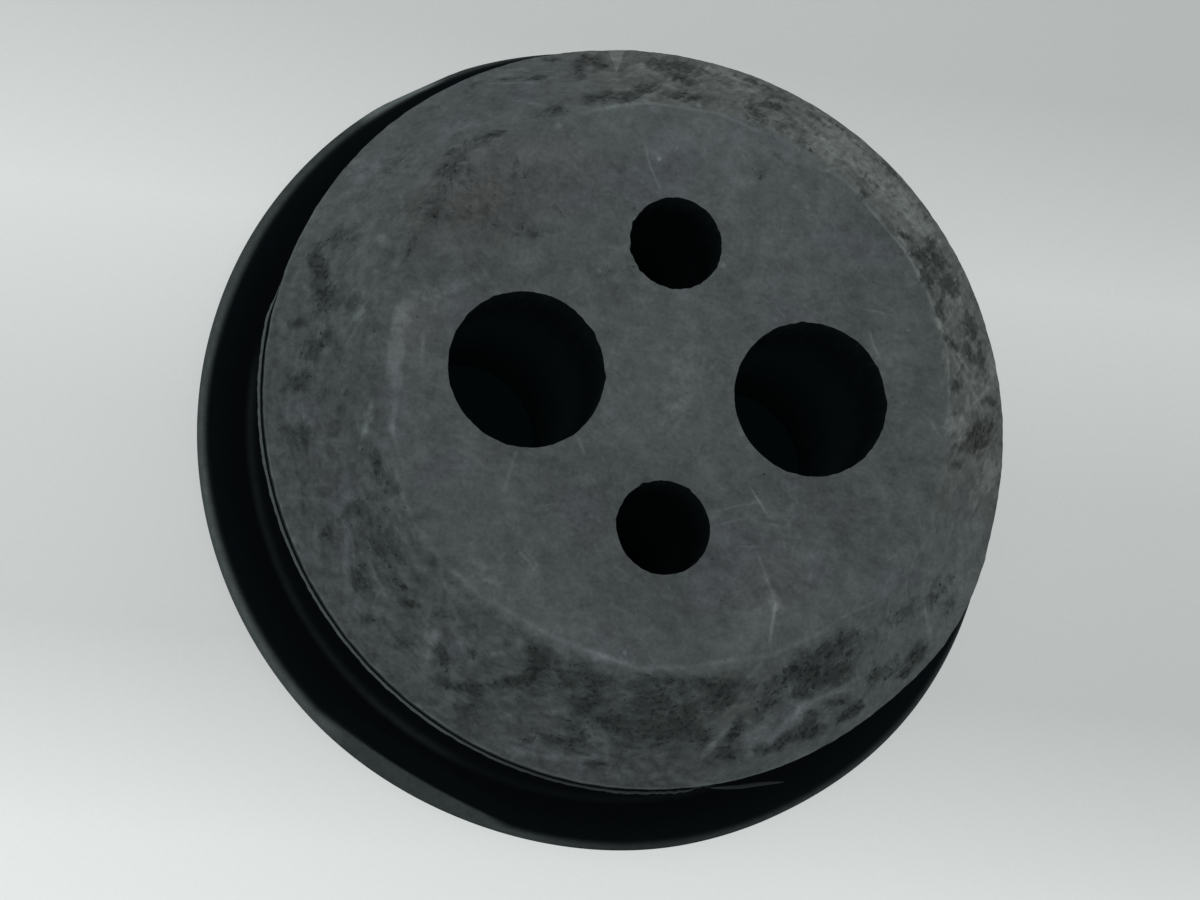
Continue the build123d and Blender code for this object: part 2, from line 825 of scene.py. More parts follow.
@dataclass
class BoreWalls:
    """The walls of the four bores, with their slightly ragged mouths."""

    sizes: GrommetSizes
    corners: int = 160
    levels: int = 14
    ragged: float = 0.055
    mouth_share: float = 0.93
    nick_height: float = 0.8
    seed: int = 5
    nicks: tuple = (
        Nick(1, 0.0, 0.30, 0.05), Nick(1, 35.0, 0.22, 0.03), Nick(1, 118.0, 0.20, 0.03),
        Nick(0, 98.0, 0.25, 0.05), Nick(0, 2.0, 0.40, 0.03), Nick(0, 30.0, 0.25, 0.03),
        Nick(2, 160.0, 0.20, 0.04), Nick(2, 195.0, 0.22, 0.05), Nick(2, 222.0, 0.16, 0.04),
        Nick(3, 118.0, 0.22, 0.05), Nick(3, 60.0, 0.16, 0.03), Nick(3, 175.0, 0.2, 0.03),
    )

    def build(self, finish: Material) -> Mesh:
        """Places the bore walls as instances and makes their mouths ragged.

        Args:
            finish: the material of the walls.

        Returns:
            The four open tubes as one mesh.
        """
        shape = GeometryTree("bore_walls")
        ragged = shape.input("Mouth raggedness", "Float", self.ragged * MM)
        top = shape.input("Height", "Float", self.sizes.height * MM)
        seed = shape.input("Seed", "Int", self.seed)
        material = shape.input("Finish", "Material", finish)
        book = shape.book
        tube = book.wire("GeometryNodeMeshCylinder", {"fill_type": "NONE"},
                         {"Vertices": self.corners, "Side Segments": self.levels,
                          "Radius": 1.0, "Depth": top})
        raised = book.wire("GeometryNodeTransform", {},
                           {"Geometry": tube, "Translation": book.xyz(z=top * 0.5)})
        width = book.wire("GeometryNodeInputNamedAttribute", {"data_type": "FLOAT"},
                          {"Name": "width"}, "Attribute")
        placed = book.wire("GeometryNodeInstanceOnPoints", {}, {
            "Points": shape.geometry(), "Instance": raised, "Scale": book.xyz(width, width, 1.0)})
        real = book.wire("GeometryNodeRealizeInstances", {}, {"Geometry": placed})
        position = book.wire("GeometryNodeInputPosition")
        index = book.wire("GeometryNodeInputIndex")
        centre = book.wire("GeometryNodeSampleIndex", {"data_type": "FLOAT_VECTOR"}, {
            "Geometry": shape.geometry(), "Value": position,
            "Index": book.sum("FLOOR", index / (self.corners * (self.levels + 1)))})
        outward = book.vector("SUBTRACT", position, centre)
        flat = book.vector("NORMALIZE", book.vector("MULTIPLY", outward, (1.0, 1.0, 0.0)))
        height = book.split(position)[2]
        near_mouth = book.step(height / top, self.mouth_share, 1.0, "LINEAR")
        spot = book.vector("ADD", book.scaled(position, 1 / MM), book.xyz(z=seed * 1.3))
        bite = (book.noise(spot, 2.4, 3.0, 0.75) - 0.5) * ragged * near_mouth * 2.0
        moved = book.wire("GeometryNodeSetPosition", {},
                          {"Geometry": real, "Offset": book.scaled(flat, bite)})
        shape.close(moved, material)
        mesh = shape.run(self._centres())
        self._cut_nicks(mesh)
        return mesh

    def _centres(self) -> Mesh:
        """Makes the bore centres as points that carry their radii.

        Returns:
            A mesh of loose points.
        """
        mesh = point_mesh("bore_centres", [(b.x, b.y, 0.0) for b in self.sizes.bores])
        width = mesh.attributes.new("width", "FLOAT", "POINT")
        width.data.foreach_set("value", [b.radius * MM for b in self.sizes.bores])
        return mesh

    def _cut_nicks(self, mesh: Mesh) -> None:
        """Widens the mouths where a nick was torn out.

        Args:
            mesh: the bore walls.
        """
        for vertex in mesh.vertices:
            x, y, z = (c / MM for c in vertex.co)
            share = max(0.0, 1.0 - (self.sizes.height - z) / self.nick_height)
            if share <= 0.0:
                continue
            for nick in self.nicks:
                bore = self.sizes.bores[nick.bore]
                dx, dy = x - bore.x, y - bore.y
                reach = math.hypot(dx, dy)
                if reach > bore.radius + 1.0:
                    continue
                gap = turn_gap(math.degrees(math.atan2(dy, dx)), nick.bearing)
                along = math.radians(gap) * bore.radius / (nick.width / 2)
                push = nick.depth * share * math.exp(-along * along)
                vertex.co.x += dx / reach * push * MM
                vertex.co.y += dy / reach * push * MM


@dataclass
class FlashLip:
    """The thin torn flash that runs along the plug's edge, and its loose strand."""

    sizes: GrommetSizes
    start: float = 166.5
    arc: float = 118.0
    drop: float = 0.2
    inset: float = 0.04
    reach: float = 0.13
    thickness: float = 0.1
    sway: float = 0.1
    rise_at_start: float = 0.12
    noise_reach: float = 12.0
    points: int = 420
    strand: tuple = ((2.9, -11.97, 6.05), (3.75, -11.86, 5.95), (4.6, -11.67, 5.85),
                     (5.37, -11.54, 5.8))
    strand_points: int = 30
    seed: int = 8

    def build(self, finish: Material) -> Mesh:
        """Sweeps a thin bead round the land.

        Args:
            finish: the material of the lip.

        Returns:
            The closed lip.
        """
        shape = GeometryTree("flash_lip")
        count = shape.input("Points", "Int", self.points)
        reach = shape.input("Reach", "Float", self.reach * MM)
        thick = shape.input("Thickness", "Float", self.thickness * MM)
        start = shape.input("Start", "Float", math.radians(self.start))
        arc = shape.input("Arc", "Float", math.radians(self.arc))
        seed = shape.input("Seed", "Int", self.seed)
        material = shape.input("Finish", "Material", finish)
        book = shape.book
        line = book.wire("GeometryNodeMeshLine", {}, {"Count": count}, "Mesh")
        share = book.wire("GeometryNodeInputIndex") / (count - 1.0)
        turn = start + share * arc
        ring = ring_position(book, self.noise_reach, turn, seed * 2.1)
        slow = book.noise(ring, 0.45, 2.0, 0.5)
        quick = book.noise(ring, 3.2, 3.0, 0.6)
        fade_in = book.step(share, 0.0, 0.05)
        fade = fade_in * (1.0 - book.step(share, 0.93, 1.0))
        torn = book.step(share, 0.80, 0.96)
        radius = ((self.sizes.plug_radius - self.inset) * MM
                  + reach * (fade * 0.75 + 0.35 + (slow - 0.5) * 0.35 + (quick - 0.5) * 0.45)
                  + torn * (quick - 0.6) * reach * 1.6)
        height = ((self.sizes.shoulder - self.drop) * MM + (slow - 0.5) * self.sway * MM
                  + (1.0 - fade_in) * self.rise_at_start * MM)
        place = ring_position(book, radius, turn, height)
        placed = book.wire("GeometryNodeSetPosition", {}, {"Geometry": line, "Position": place})
        curve = book.wire("GeometryNodeMeshToCurve", {}, {0: placed})
        size = (0.5 + quick * 0.9) * (0.25 + fade * 0.75)
        shape.close(self._sweep(book, curve, thick * 0.5, size), material)
        return shape.run(point_mesh("lip_seed", []))

    def build_strand(self, finish: Material) -> Mesh:
        """Sweeps the loose strand that was torn off the end of the lip.

        Args:
            finish: the material of the strand.

        Returns:
            The closed strand, thickest in its middle.
        """
        shape = GeometryTree("torn_strand")
        thick = shape.input("Thickness", "Float", self.thickness * MM)
        count = shape.input("Points", "Int", self.strand_points)
        material = shape.input("Finish", "Material", finish)
        book = shape.book
        spline = book.wire("GeometryNodeCurveSplineType", {"spline_type": "CATMULL_ROM"}, {
            "Curve": book.wire("GeometryNodeMeshToCurve", {}, {0: shape.geometry()})})
        curve = book.wire("GeometryNodeResampleCurve", {}, {"Curve": spline, "Count": count})
        share = book.wire("GeometryNodeSplineParameter")
        belly = book.sum("MAXIMUM", share * (1.0 - share) * 4.0, 0.0) ** 0.7 * 1.2 + 0.2
        shape.close(self._sweep(book, curve, thick * 0.5, belly), material)
        steps = [(k, k + 1) for k in range(len(self.strand) - 1)]
        return shape.run(point_mesh("strand_line", self.strand, steps))

    @staticmethod
    def _sweep(book: NodeBook, curve: Wire, radius: Wire, size: Wire) -> Wire:
        """Sweeps a small round outline along a curve.

        Args:
            book: the tree's nodes.
            curve: the curve.
            radius: the outline's radius.
            size: its scale at each point.

        Returns:
            The closed bead.
        """
        outline = book.wire("GeometryNodeCurvePrimitiveCircle", {},
                            {"Resolution": 6, "Radius": radius})
        return book.wire("GeometryNodeCurveToMesh", {}, {
            "Curve": curve, "Profile Curve": outline, "Scale": size, "Fill Caps": True})


# Marks on the top

@dataclass(frozen=True)
class Patch:
    """A soft-edged oval area on the top: its centre, half sizes, turn and strength."""

    x: float
    y: float
    along: float
    across: float
    turn: float
    strength: float


@dataclass(frozen=True)
class Scratch:
    """A pale line scraped into the top, through its points."""

    points: tuple
    width: float
    strength: float


@dataclass(frozen=True)
class Dot:
    """A pinhead mark, pale where its strength is above zero and dark below."""

    x: float
    y: float
    radius: float
    strength: float


def patches(*rows: tuple) -> tuple:
    """Returns patches from rows of x, y, half sizes along and across, turn and strength."""
    return tuple(Patch(*row) for row in rows)


def scratches(*rows: tuple) -> tuple:
    """Returns scratches from rows of width, strength and the x and y of each point."""
    return tuple(Scratch(tuple(zip(row[2::2], row[3::2])), *row[:2]) for row in rows)


def dots(*rows: tuple) -> tuple:
    """Returns dots from rows of x, y, radius and strength."""
    return tuple(Dot(*row) for row in rows)


# The pale V at the plug's edge, by its corners, the last one at its foot
EDGE_WEDGE = ((-0.93, 12.35), (-1.60, 12.35), (-1.76, 10.61))
WEDGE_STRENGTH = 0.7

# Broad areas that are a little paler, duller or warmer than the rest
PALE_AREAS = patches(
    (1.5, 8.2, 4.0, 1.2, -10, 1.0), (-4.3, -7.1, 2.2, 0.8, -35, 0.8),
    (-8.4, 0.6, 1.6, 0.5, 85, 0.8), (0.2, 0.3, 1.5, 1.0, 60, 0.5), (3.2, -7.3, 1.2, 0.7, 30, 0.6),
    (3.0, 5.6, 2.0, 1.2, -30, 0.5), (9.9, -5.7, 1.7, 0.9, 60, 0.9),
)

DULL_AREAS = patches(
    (0.0, -6.5, 2.2, 0.9, 5, 0.6), (-2.9, -3.6, 1.6, 1.0, -30, 0.7), (0.0, -4.6, 2.6, 2.0, 0, 0.9),
    (5.3, -3.4, 2.0, 1.2, -30, 0.9), (-6.7, 4.3, 1.8, 1.1, 40, 0.8), (8.0, -1.2, 1.6, 0.8, 90, 0.5),
    (6.6, 5.6, 1.2, 0.6, -45, 0.4),
)

WARM_AREAS = patches(
    (-6.4, 5.4, 1.9, 1.3, 30, 1.0), (-8.2, 1.0, 0.8, 0.6, 60, 0.8), (-4.6, 6.6, 1.6, 0.8, 10, 0.6),
    (3.6, -6.2, 1.0, 0.8, 80, 0.5), (10.7, -0.3, 0.9, 0.6, 30, 0.9),
    (-2.3, 11.2, 0.7, 0.4, 70, 0.6), (0.3, 11.3, 1.2, 0.5, 0, 0.5), (2.6, -9.7, 0.8, 0.6, 20, 0.5),
)

# Spots where the chalky skin is worn off, so that the dark rubber shows
BARE_PATCHES = patches(
    (-10.95, 3.45, 0.45, 0.22, 100, 1.0), (-10.75, 2.3, 0.75, 0.3, 95, 0.95),
    (-10.4, 4.2, 0.5, 0.28, 20, 0.55), (-11.45, 1.4, 0.3, 0.2, 40, 0.7),
    (-10.9, 0.6, 0.5, 0.35, 60, 0.7), (-11.3, -0.55, 0.4, 0.28, 20, 0.85),
    (-9.45, 0.8, 0.28, 0.12, 60, 0.6), (-10.05, 1.95, 0.3, 0.25, 60, 0.55),
    (-11.2, -2.2, 0.55, 0.35, 120, 0.55), (-8.95, -3.4, 0.42, 0.15, 110, 0.9),
    (-8.6, -4.1, 0.5, 0.25, 120, 0.55), (-9.5, -4.6, 0.35, 0.25, 30, 0.62),
    (-10.25, -5.2, 0.38, 0.18, 110, 0.75), (-8.7, -5.6, 0.95, 0.5, 120, 0.5),
    (-9.05, -6.65, 0.42, 0.2, 120, 0.85), (-8.0, -6.85, 0.4, 0.2, 140, 0.7),
    (-7.55, -7.4, 0.38, 0.12, 170, 0.85), (-8.3, -7.85, 0.42, 0.14, 160, 0.65),
    (-6.3, -7.82, 0.8, 0.07, 175, 0.6), (-7.4, -8.55, 0.35, 0.22, 150, 0.5),
    (-6.3, -8.9, 0.45, 0.1, 115, 0.85), (-5.6, -9.72, 0.6, 0.13, 172, 0.85),
    (-5.3, -10.25, 0.55, 0.1, 178, 0.7), (-5.4, -8.9, 0.5, 0.3, 150, 0.45),
    (-4.3, -9.6, 0.5, 0.15, 8, 0.95), (-3.6, -9.3, 0.3, 0.5, 0, 0.9),
    (-3.85, -8.75, 0.25, 0.12, 130, 0.8), (-2.4, -9.4, 0.9, 0.4, 170, 0.62),
    (-1.9, -10.1, 0.45, 0.35, 20, 0.8), (-1.2, -10.55, 0.45, 0.28, 10, 0.95),
    (-2.3, -11.1, 0.75, 0.13, 178, 1.0), (-2.0, -10.85, 0.35, 0.1, 165, 0.9),
    (-1.05, -11.65, 0.4, 0.07, 175, 0.85), (0.3, -9.8, 0.9, 0.6, 0, 0.66),
    (0.2, -10.8, 1.0, 0.3, 175, 0.74), (1.3, -10.3, 0.8, 0.4, 170, 0.68),
    (2.3, -9.65, 0.45, 0.32, 150, 0.98), (1.6, -9.3, 0.5, 0.15, 5, 0.8),
    (2.9, -9.2, 0.4, 0.2, 10, 0.66), (3.05, -10.45, 0.4, 0.2, 70, 0.96),
    (3.1, -11.08, 0.45, 0.14, 3, 1.0), (2.1, -10.75, 0.35, 0.2, 20, 0.75),
    (4.0, -9.4, 0.5, 0.35, 80, 0.6), (5.1, -8.65, 0.6, 0.35, 10, 1.0),
    (4.5, -8.6, 0.35, 0.22, 60, 0.8), (5.15, -9.15, 0.35, 0.12, 5, 0.95),
    (6.1, -7.7, 1.1, 0.4, 25, 0.68), (6.3, -8.4, 0.7, 0.3, 15, 0.66),
    (7.75, -8.2, 0.3, 0.16, 60, 0.95), (7.35, -9.2, 0.35, 0.18, 30, 0.95),
    (6.95, -9.5, 0.25, 0.13, 40, 0.9), (5.8, -10.05, 0.6, 0.25, 20, 0.88),
    (5.6, -9.6, 0.3, 0.12, 10, 0.85), (4.95, -10.4, 0.3, 0.15, 25, 0.9),
    (4.45, -10.75, 0.5, 0.14, 10, 0.97), (6.6, -9.1, 0.5, 0.15, 25, 0.7),
    (9.3, -7.3, 0.55, 0.28, 50, 0.84), (8.95, -7.9, 0.28, 0.13, 20, 0.97),
    (8.3, -7.9, 0.4, 0.25, 40, 0.6), (9.6, -5.4, 0.55, 0.35, 50, 0.58),
    (8.4, -6.2, 0.8, 0.35, 40, 0.52), (10.3, -5.6, 0.4, 0.25, 60, 0.5),
    (10.2, -4.75, 0.22, 0.09, 20, 0.6), (10.75, -0.25, 0.62, 0.36, 32, 1.0),
    (9.9, -0.85, 0.45, 0.13, 15, 0.8), (9.8, -1.45, 0.35, 0.12, 10, 0.6),
    (11.1, 0.3, 0.6, 0.25, 30, 0.9), (9.6, 1.15, 0.4, 0.2, 25, 0.75),
    (11.55, 1.35, 0.35, 0.13, 15, 0.8), (9.4, 2.5, 0.45, 0.14, -15, 0.85),
    (10.45, 2.6, 0.35, 0.25, -40, 0.85), (11.1, 2.6, 0.6, 0.18, 100, 0.82),
    (8.95, 3.6, 0.45, 0.22, 60, 0.8), (10.6, 3.7, 0.45, 0.35, 70, 0.85),
    (8.6, 4.6, 0.6, 0.35, 45, 0.85), (9.8, 4.9, 0.6, 0.4, 40, 0.8),
    (8.35, 5.35, 0.55, 0.24, 30, 0.95), (9.2, 5.6, 0.65, 0.3, 25, 0.85),
    (7.75, 5.9, 0.42, 0.15, 15, 0.95), (9.05, 6.15, 0.45, 0.2, 50, 0.75),
    (6.3, 7.6, 0.4, 0.22, 50, 0.55), (6.15, 7.0, 0.35, 0.15, 45, 0.6),
    (8.05, 8.9, 0.55, 0.2, -45, 0.6), (9.2, 7.6, 0.5, 0.12, -55, 0.5),
    (3.4, 10.1, 0.45, 0.18, 20, 0.85), (2.6, 9.35, 0.55, 0.4, 70, 0.7),
    (3.15, 11.35, 0.55, 0.14, -12, 0.8), (3.9, 10.8, 0.4, 0.3, 30, 0.62),
    (5.1, 10.3, 0.6, 0.16, -25, 0.65), (6.2, 10.15, 0.5, 0.12, -30, 0.7),
    (3.6, 9.2, 0.5, 0.25, 40, 0.55), (4.2, 8.4, 0.6, 0.2, -30, 0.5),
    (0.4, 11.4, 0.9, 0.35, 0, 0.92), (0.4, 10.6, 0.5, 0.25, -10, 0.75),
    (0.3, 9.65, 0.75, 0.24, 5, 0.78), (-0.9, 9.9, 0.5, 0.25, 30, 0.55),
    (-2.15, 11.2, 0.45, 0.22, 75, 0.92), (-2.55, 11.35, 0.4, 0.2, 60, 0.72),
    (-2.9, 10.7, 0.5, 0.18, 80, 0.8), (-2.5, 9.3, 0.6, 0.25, 20, 0.72),
    (-1.5, 9.5, 0.6, 0.25, 40, 0.62), (-3.65, 11.3, 0.32, 0.14, 10, 0.75),
    (-5.0, 10.27, 0.9, 0.07, -2, 0.62), (-4.2, 10.3, 0.25, 0.13, 10, 0.85),
    (-4.25, 8.5, 0.5, 0.16, 20, 0.62), (-3.95, 8.65, 0.2, 0.3, 10, 0.6),
    (-6.3, 9.9, 0.4, 0.15, 60, 0.45), (-7.5, 9.0, 0.25, 0.12, 60, 0.5),
    (-5.85, 7.64, 0.28, 0.09, 15, 0.72), (-5.3, 6.55, 0.3, 0.07, 85, 0.62),
    (-7.3, 6.5, 0.3, 0.14, 40, 0.5), (-7.16, 7.1, 0.16, 0.1, 0, 0.6),
    (-6.6, 5.6, 1.2, 0.6, 15, 0.3), (-6.5, 4.7, 1.1, 0.4, 5, 0.3), (-4.7, 4.5, 0.55, 0.3, 15, 0.36),
    (-3.85, 5.25, 0.35, 0.12, -20, 0.42), (-7.9, 4.5, 0.22, 0.15, 30, 0.45),
    (-8.5, 3.45, 0.6, 0.09, 70, 0.52), (-7.65, 0.5, 0.55, 0.16, 95, 0.36),
    (-7.5, -0.9, 0.6, 0.3, 90, 0.26), (-1.6, 3.4, 0.45, 0.12, 65, 0.42),
    (-1.35, 5.6, 0.4, 0.12, 60, 0.36), (2.6, 7.15, 0.28, 0.2, 0, 0.4),
    (1.45, 8.1, 0.2, 0.14, 30, 0.42), (3.3, 7.75, 0.4, 0.08, -30, 0.5),
    (3.9, 7.6, 0.35, 0.08, -35, 0.45), (-2.5, 3.3, 0.9, 0.5, 70, 0.3),
    (7.3, -2.0, 1.0, 0.35, 80, 0.22), (3.1, -2.6, 0.35, 0.18, 10, 0.38),
    (2.5, -7.2, 0.9, 0.7, 10, 0.16), (4.9, -6.2, 0.5, 0.35, 50, 0.22),
    (2.2, -6.6, 0.7, 0.1, 28, 0.36), (-7.9, 4.9, 0.9, 0.35, 65, 0.42),
    (-7.2, 6.3, 0.7, 0.3, 55, 0.42), (-6.4, 7.4, 0.8, 0.25, 30, 0.42),
    (-5.0, 6.3, 0.6, 0.4, 20, 0.3), (-5.0, 4.3, 0.6, 0.15, 10, 0.36),
    (-8.6, 6.9, 0.8, 0.4, 60, 0.32),
)

# Spots that are rubbed pale
RUBBED_PATCHES = patches(
    (6.2, 9.2, 1.5, 0.7, -35, 0.95), (8.6, 7.2, 1.3, 0.6, -50, 0.95),
    (5.1, 8.7, 0.8, 0.45, -20, 0.85), (2.0, 11.5, 0.6, 0.25, -5, 1.0),
    (2.5, 10.7, 0.8, 0.3, 10, 0.7), (7.2, 7.4, 0.9, 0.5, -45, 0.7), (11.7, 2.6, 0.8, 0.2, 95, 0.9),
    (9.5, -0.3, 0.6, 0.35, 40, 0.9), (11.6, -1.1, 0.6, 0.35, 60, 0.9),
    (9.9, 1.9, 0.6, 0.2, 30, 0.6), (10.9, -2.2, 0.8, 0.5, 80, 0.55), (9.5, 4.3, 0.3, 0.12, 45, 0.5),
    (10.3, 5.4, 0.5, 0.14, 55, 0.7), (-1.0, 10.9, 0.9, 0.3, 40, 0.6),
    (-5.0, 10.65, 0.7, 0.25, 5, 0.8), (-9.7, 6.5, 0.9, 0.7, 60, 0.55),
    (-10.8, 5.2, 0.35, 0.3, 0, 0.6), (-9.2, 4.0, 0.25, 0.2, 0, 0.75),
    (-8.6, 1.3, 0.45, 0.3, 70, 0.85), (-8.75, 0.0, 1.0, 0.28, 90, 1.0),
    (-8.1, 2.0, 0.6, 0.25, 35, 0.6), (-6.8, 2.5, 1.0, 0.22, 32, 0.65),
    (-7.93, 0.4, 0.7, 0.1, 90, 0.75), (-8.72, -2.1, 0.7, 0.14, 84, 0.75),
    (-8.4, -3.3, 0.5, 0.12, 110, 0.5), (-9.4, -1.9, 0.65, 0.15, 80, 0.85),
    (-9.75, 1.4, 0.8, 0.14, 60, 0.6), (-7.6, -2.7, 0.5, 0.14, 175, 0.5),
    (-5.5, -6.6, 0.55, 0.35, 150, 0.6), (-4.1, -6.0, 0.5, 0.3, 140, 0.5),
    (-4.5, -4.32, 0.18, 0.13, 160, 0.6), (-2.5, -3.3, 0.5, 0.24, 0, 0.55),
    (-6.7, -8.5, 0.6, 0.25, 95, 0.6), (-1.5, -10.95, 0.55, 0.14, 135, 0.6),
    (-3.5, -11.2, 1.0, 0.35, 170, 0.5), (-5.9, -10.3, 0.9, 0.4, 150, 0.35),
    (-9.8, -7.1, 0.9, 0.3, 130, 0.3), (3.9, -10.35, 0.75, 0.35, 50, 0.75),
    (5.2, -9.65, 0.32, 0.2, 20, 0.95), (2.4, -11.0, 0.3, 0.16, 50, 0.85),
    (6.3, -9.55, 0.35, 0.25, 20, 0.5), (4.15, -3.2, 0.8, 0.28, 88, 0.5),
    (3.95, -4.4, 0.6, 0.45, 120, 0.5), (3.4, -6.0, 0.5, 0.2, 110, 0.5),
    (3.7, -6.6, 0.32, 0.22, 90, 0.8), (0.2, 0.2, 1.6, 0.8, 80, 0.35),
    (0.4, -1.2, 0.8, 0.6, 60, 0.3), (-1.9, 5.0, 0.9, 0.35, 80, 0.35),
    (1.2, 6.3, 0.9, 0.25, 160, 0.3), (8.3, -4.6, 1.4, 0.5, 70, 0.3),
    (7.5, 5.5, 0.6, 0.16, -55, 0.9), (6.4, 6.5, 0.8, 0.12, -48, 0.7),
    (8.1, 4.4, 0.6, 0.12, -66, 0.7), (8.8, 2.95, 0.25, 0.16, -60, 0.95),
    (9.0, 2.0, 0.9, 0.12, -85, 0.55), (5.3, 7.4, 0.7, 0.1, -38, 0.45),
    (-2.2, 8.85, 1.0, 0.1, 12, 0.55), (0.4, 9.2, 0.8, 0.12, 0, 0.5),
    (-1.7, -8.85, 1.1, 0.16, -8, 0.75), (-4.0, -8.2, 1.2, 0.18, -28, 0.45),
    (-6.5, -6.5, 1.3, 0.16, -48, 0.35), (-7.6, -4.9, 1.0, 0.12, -60, 0.35),
    (2.3, -8.6, 0.9, 0.25, 12, 0.4), (4.4, -7.9, 1.0, 0.2, 28, 0.3),
)

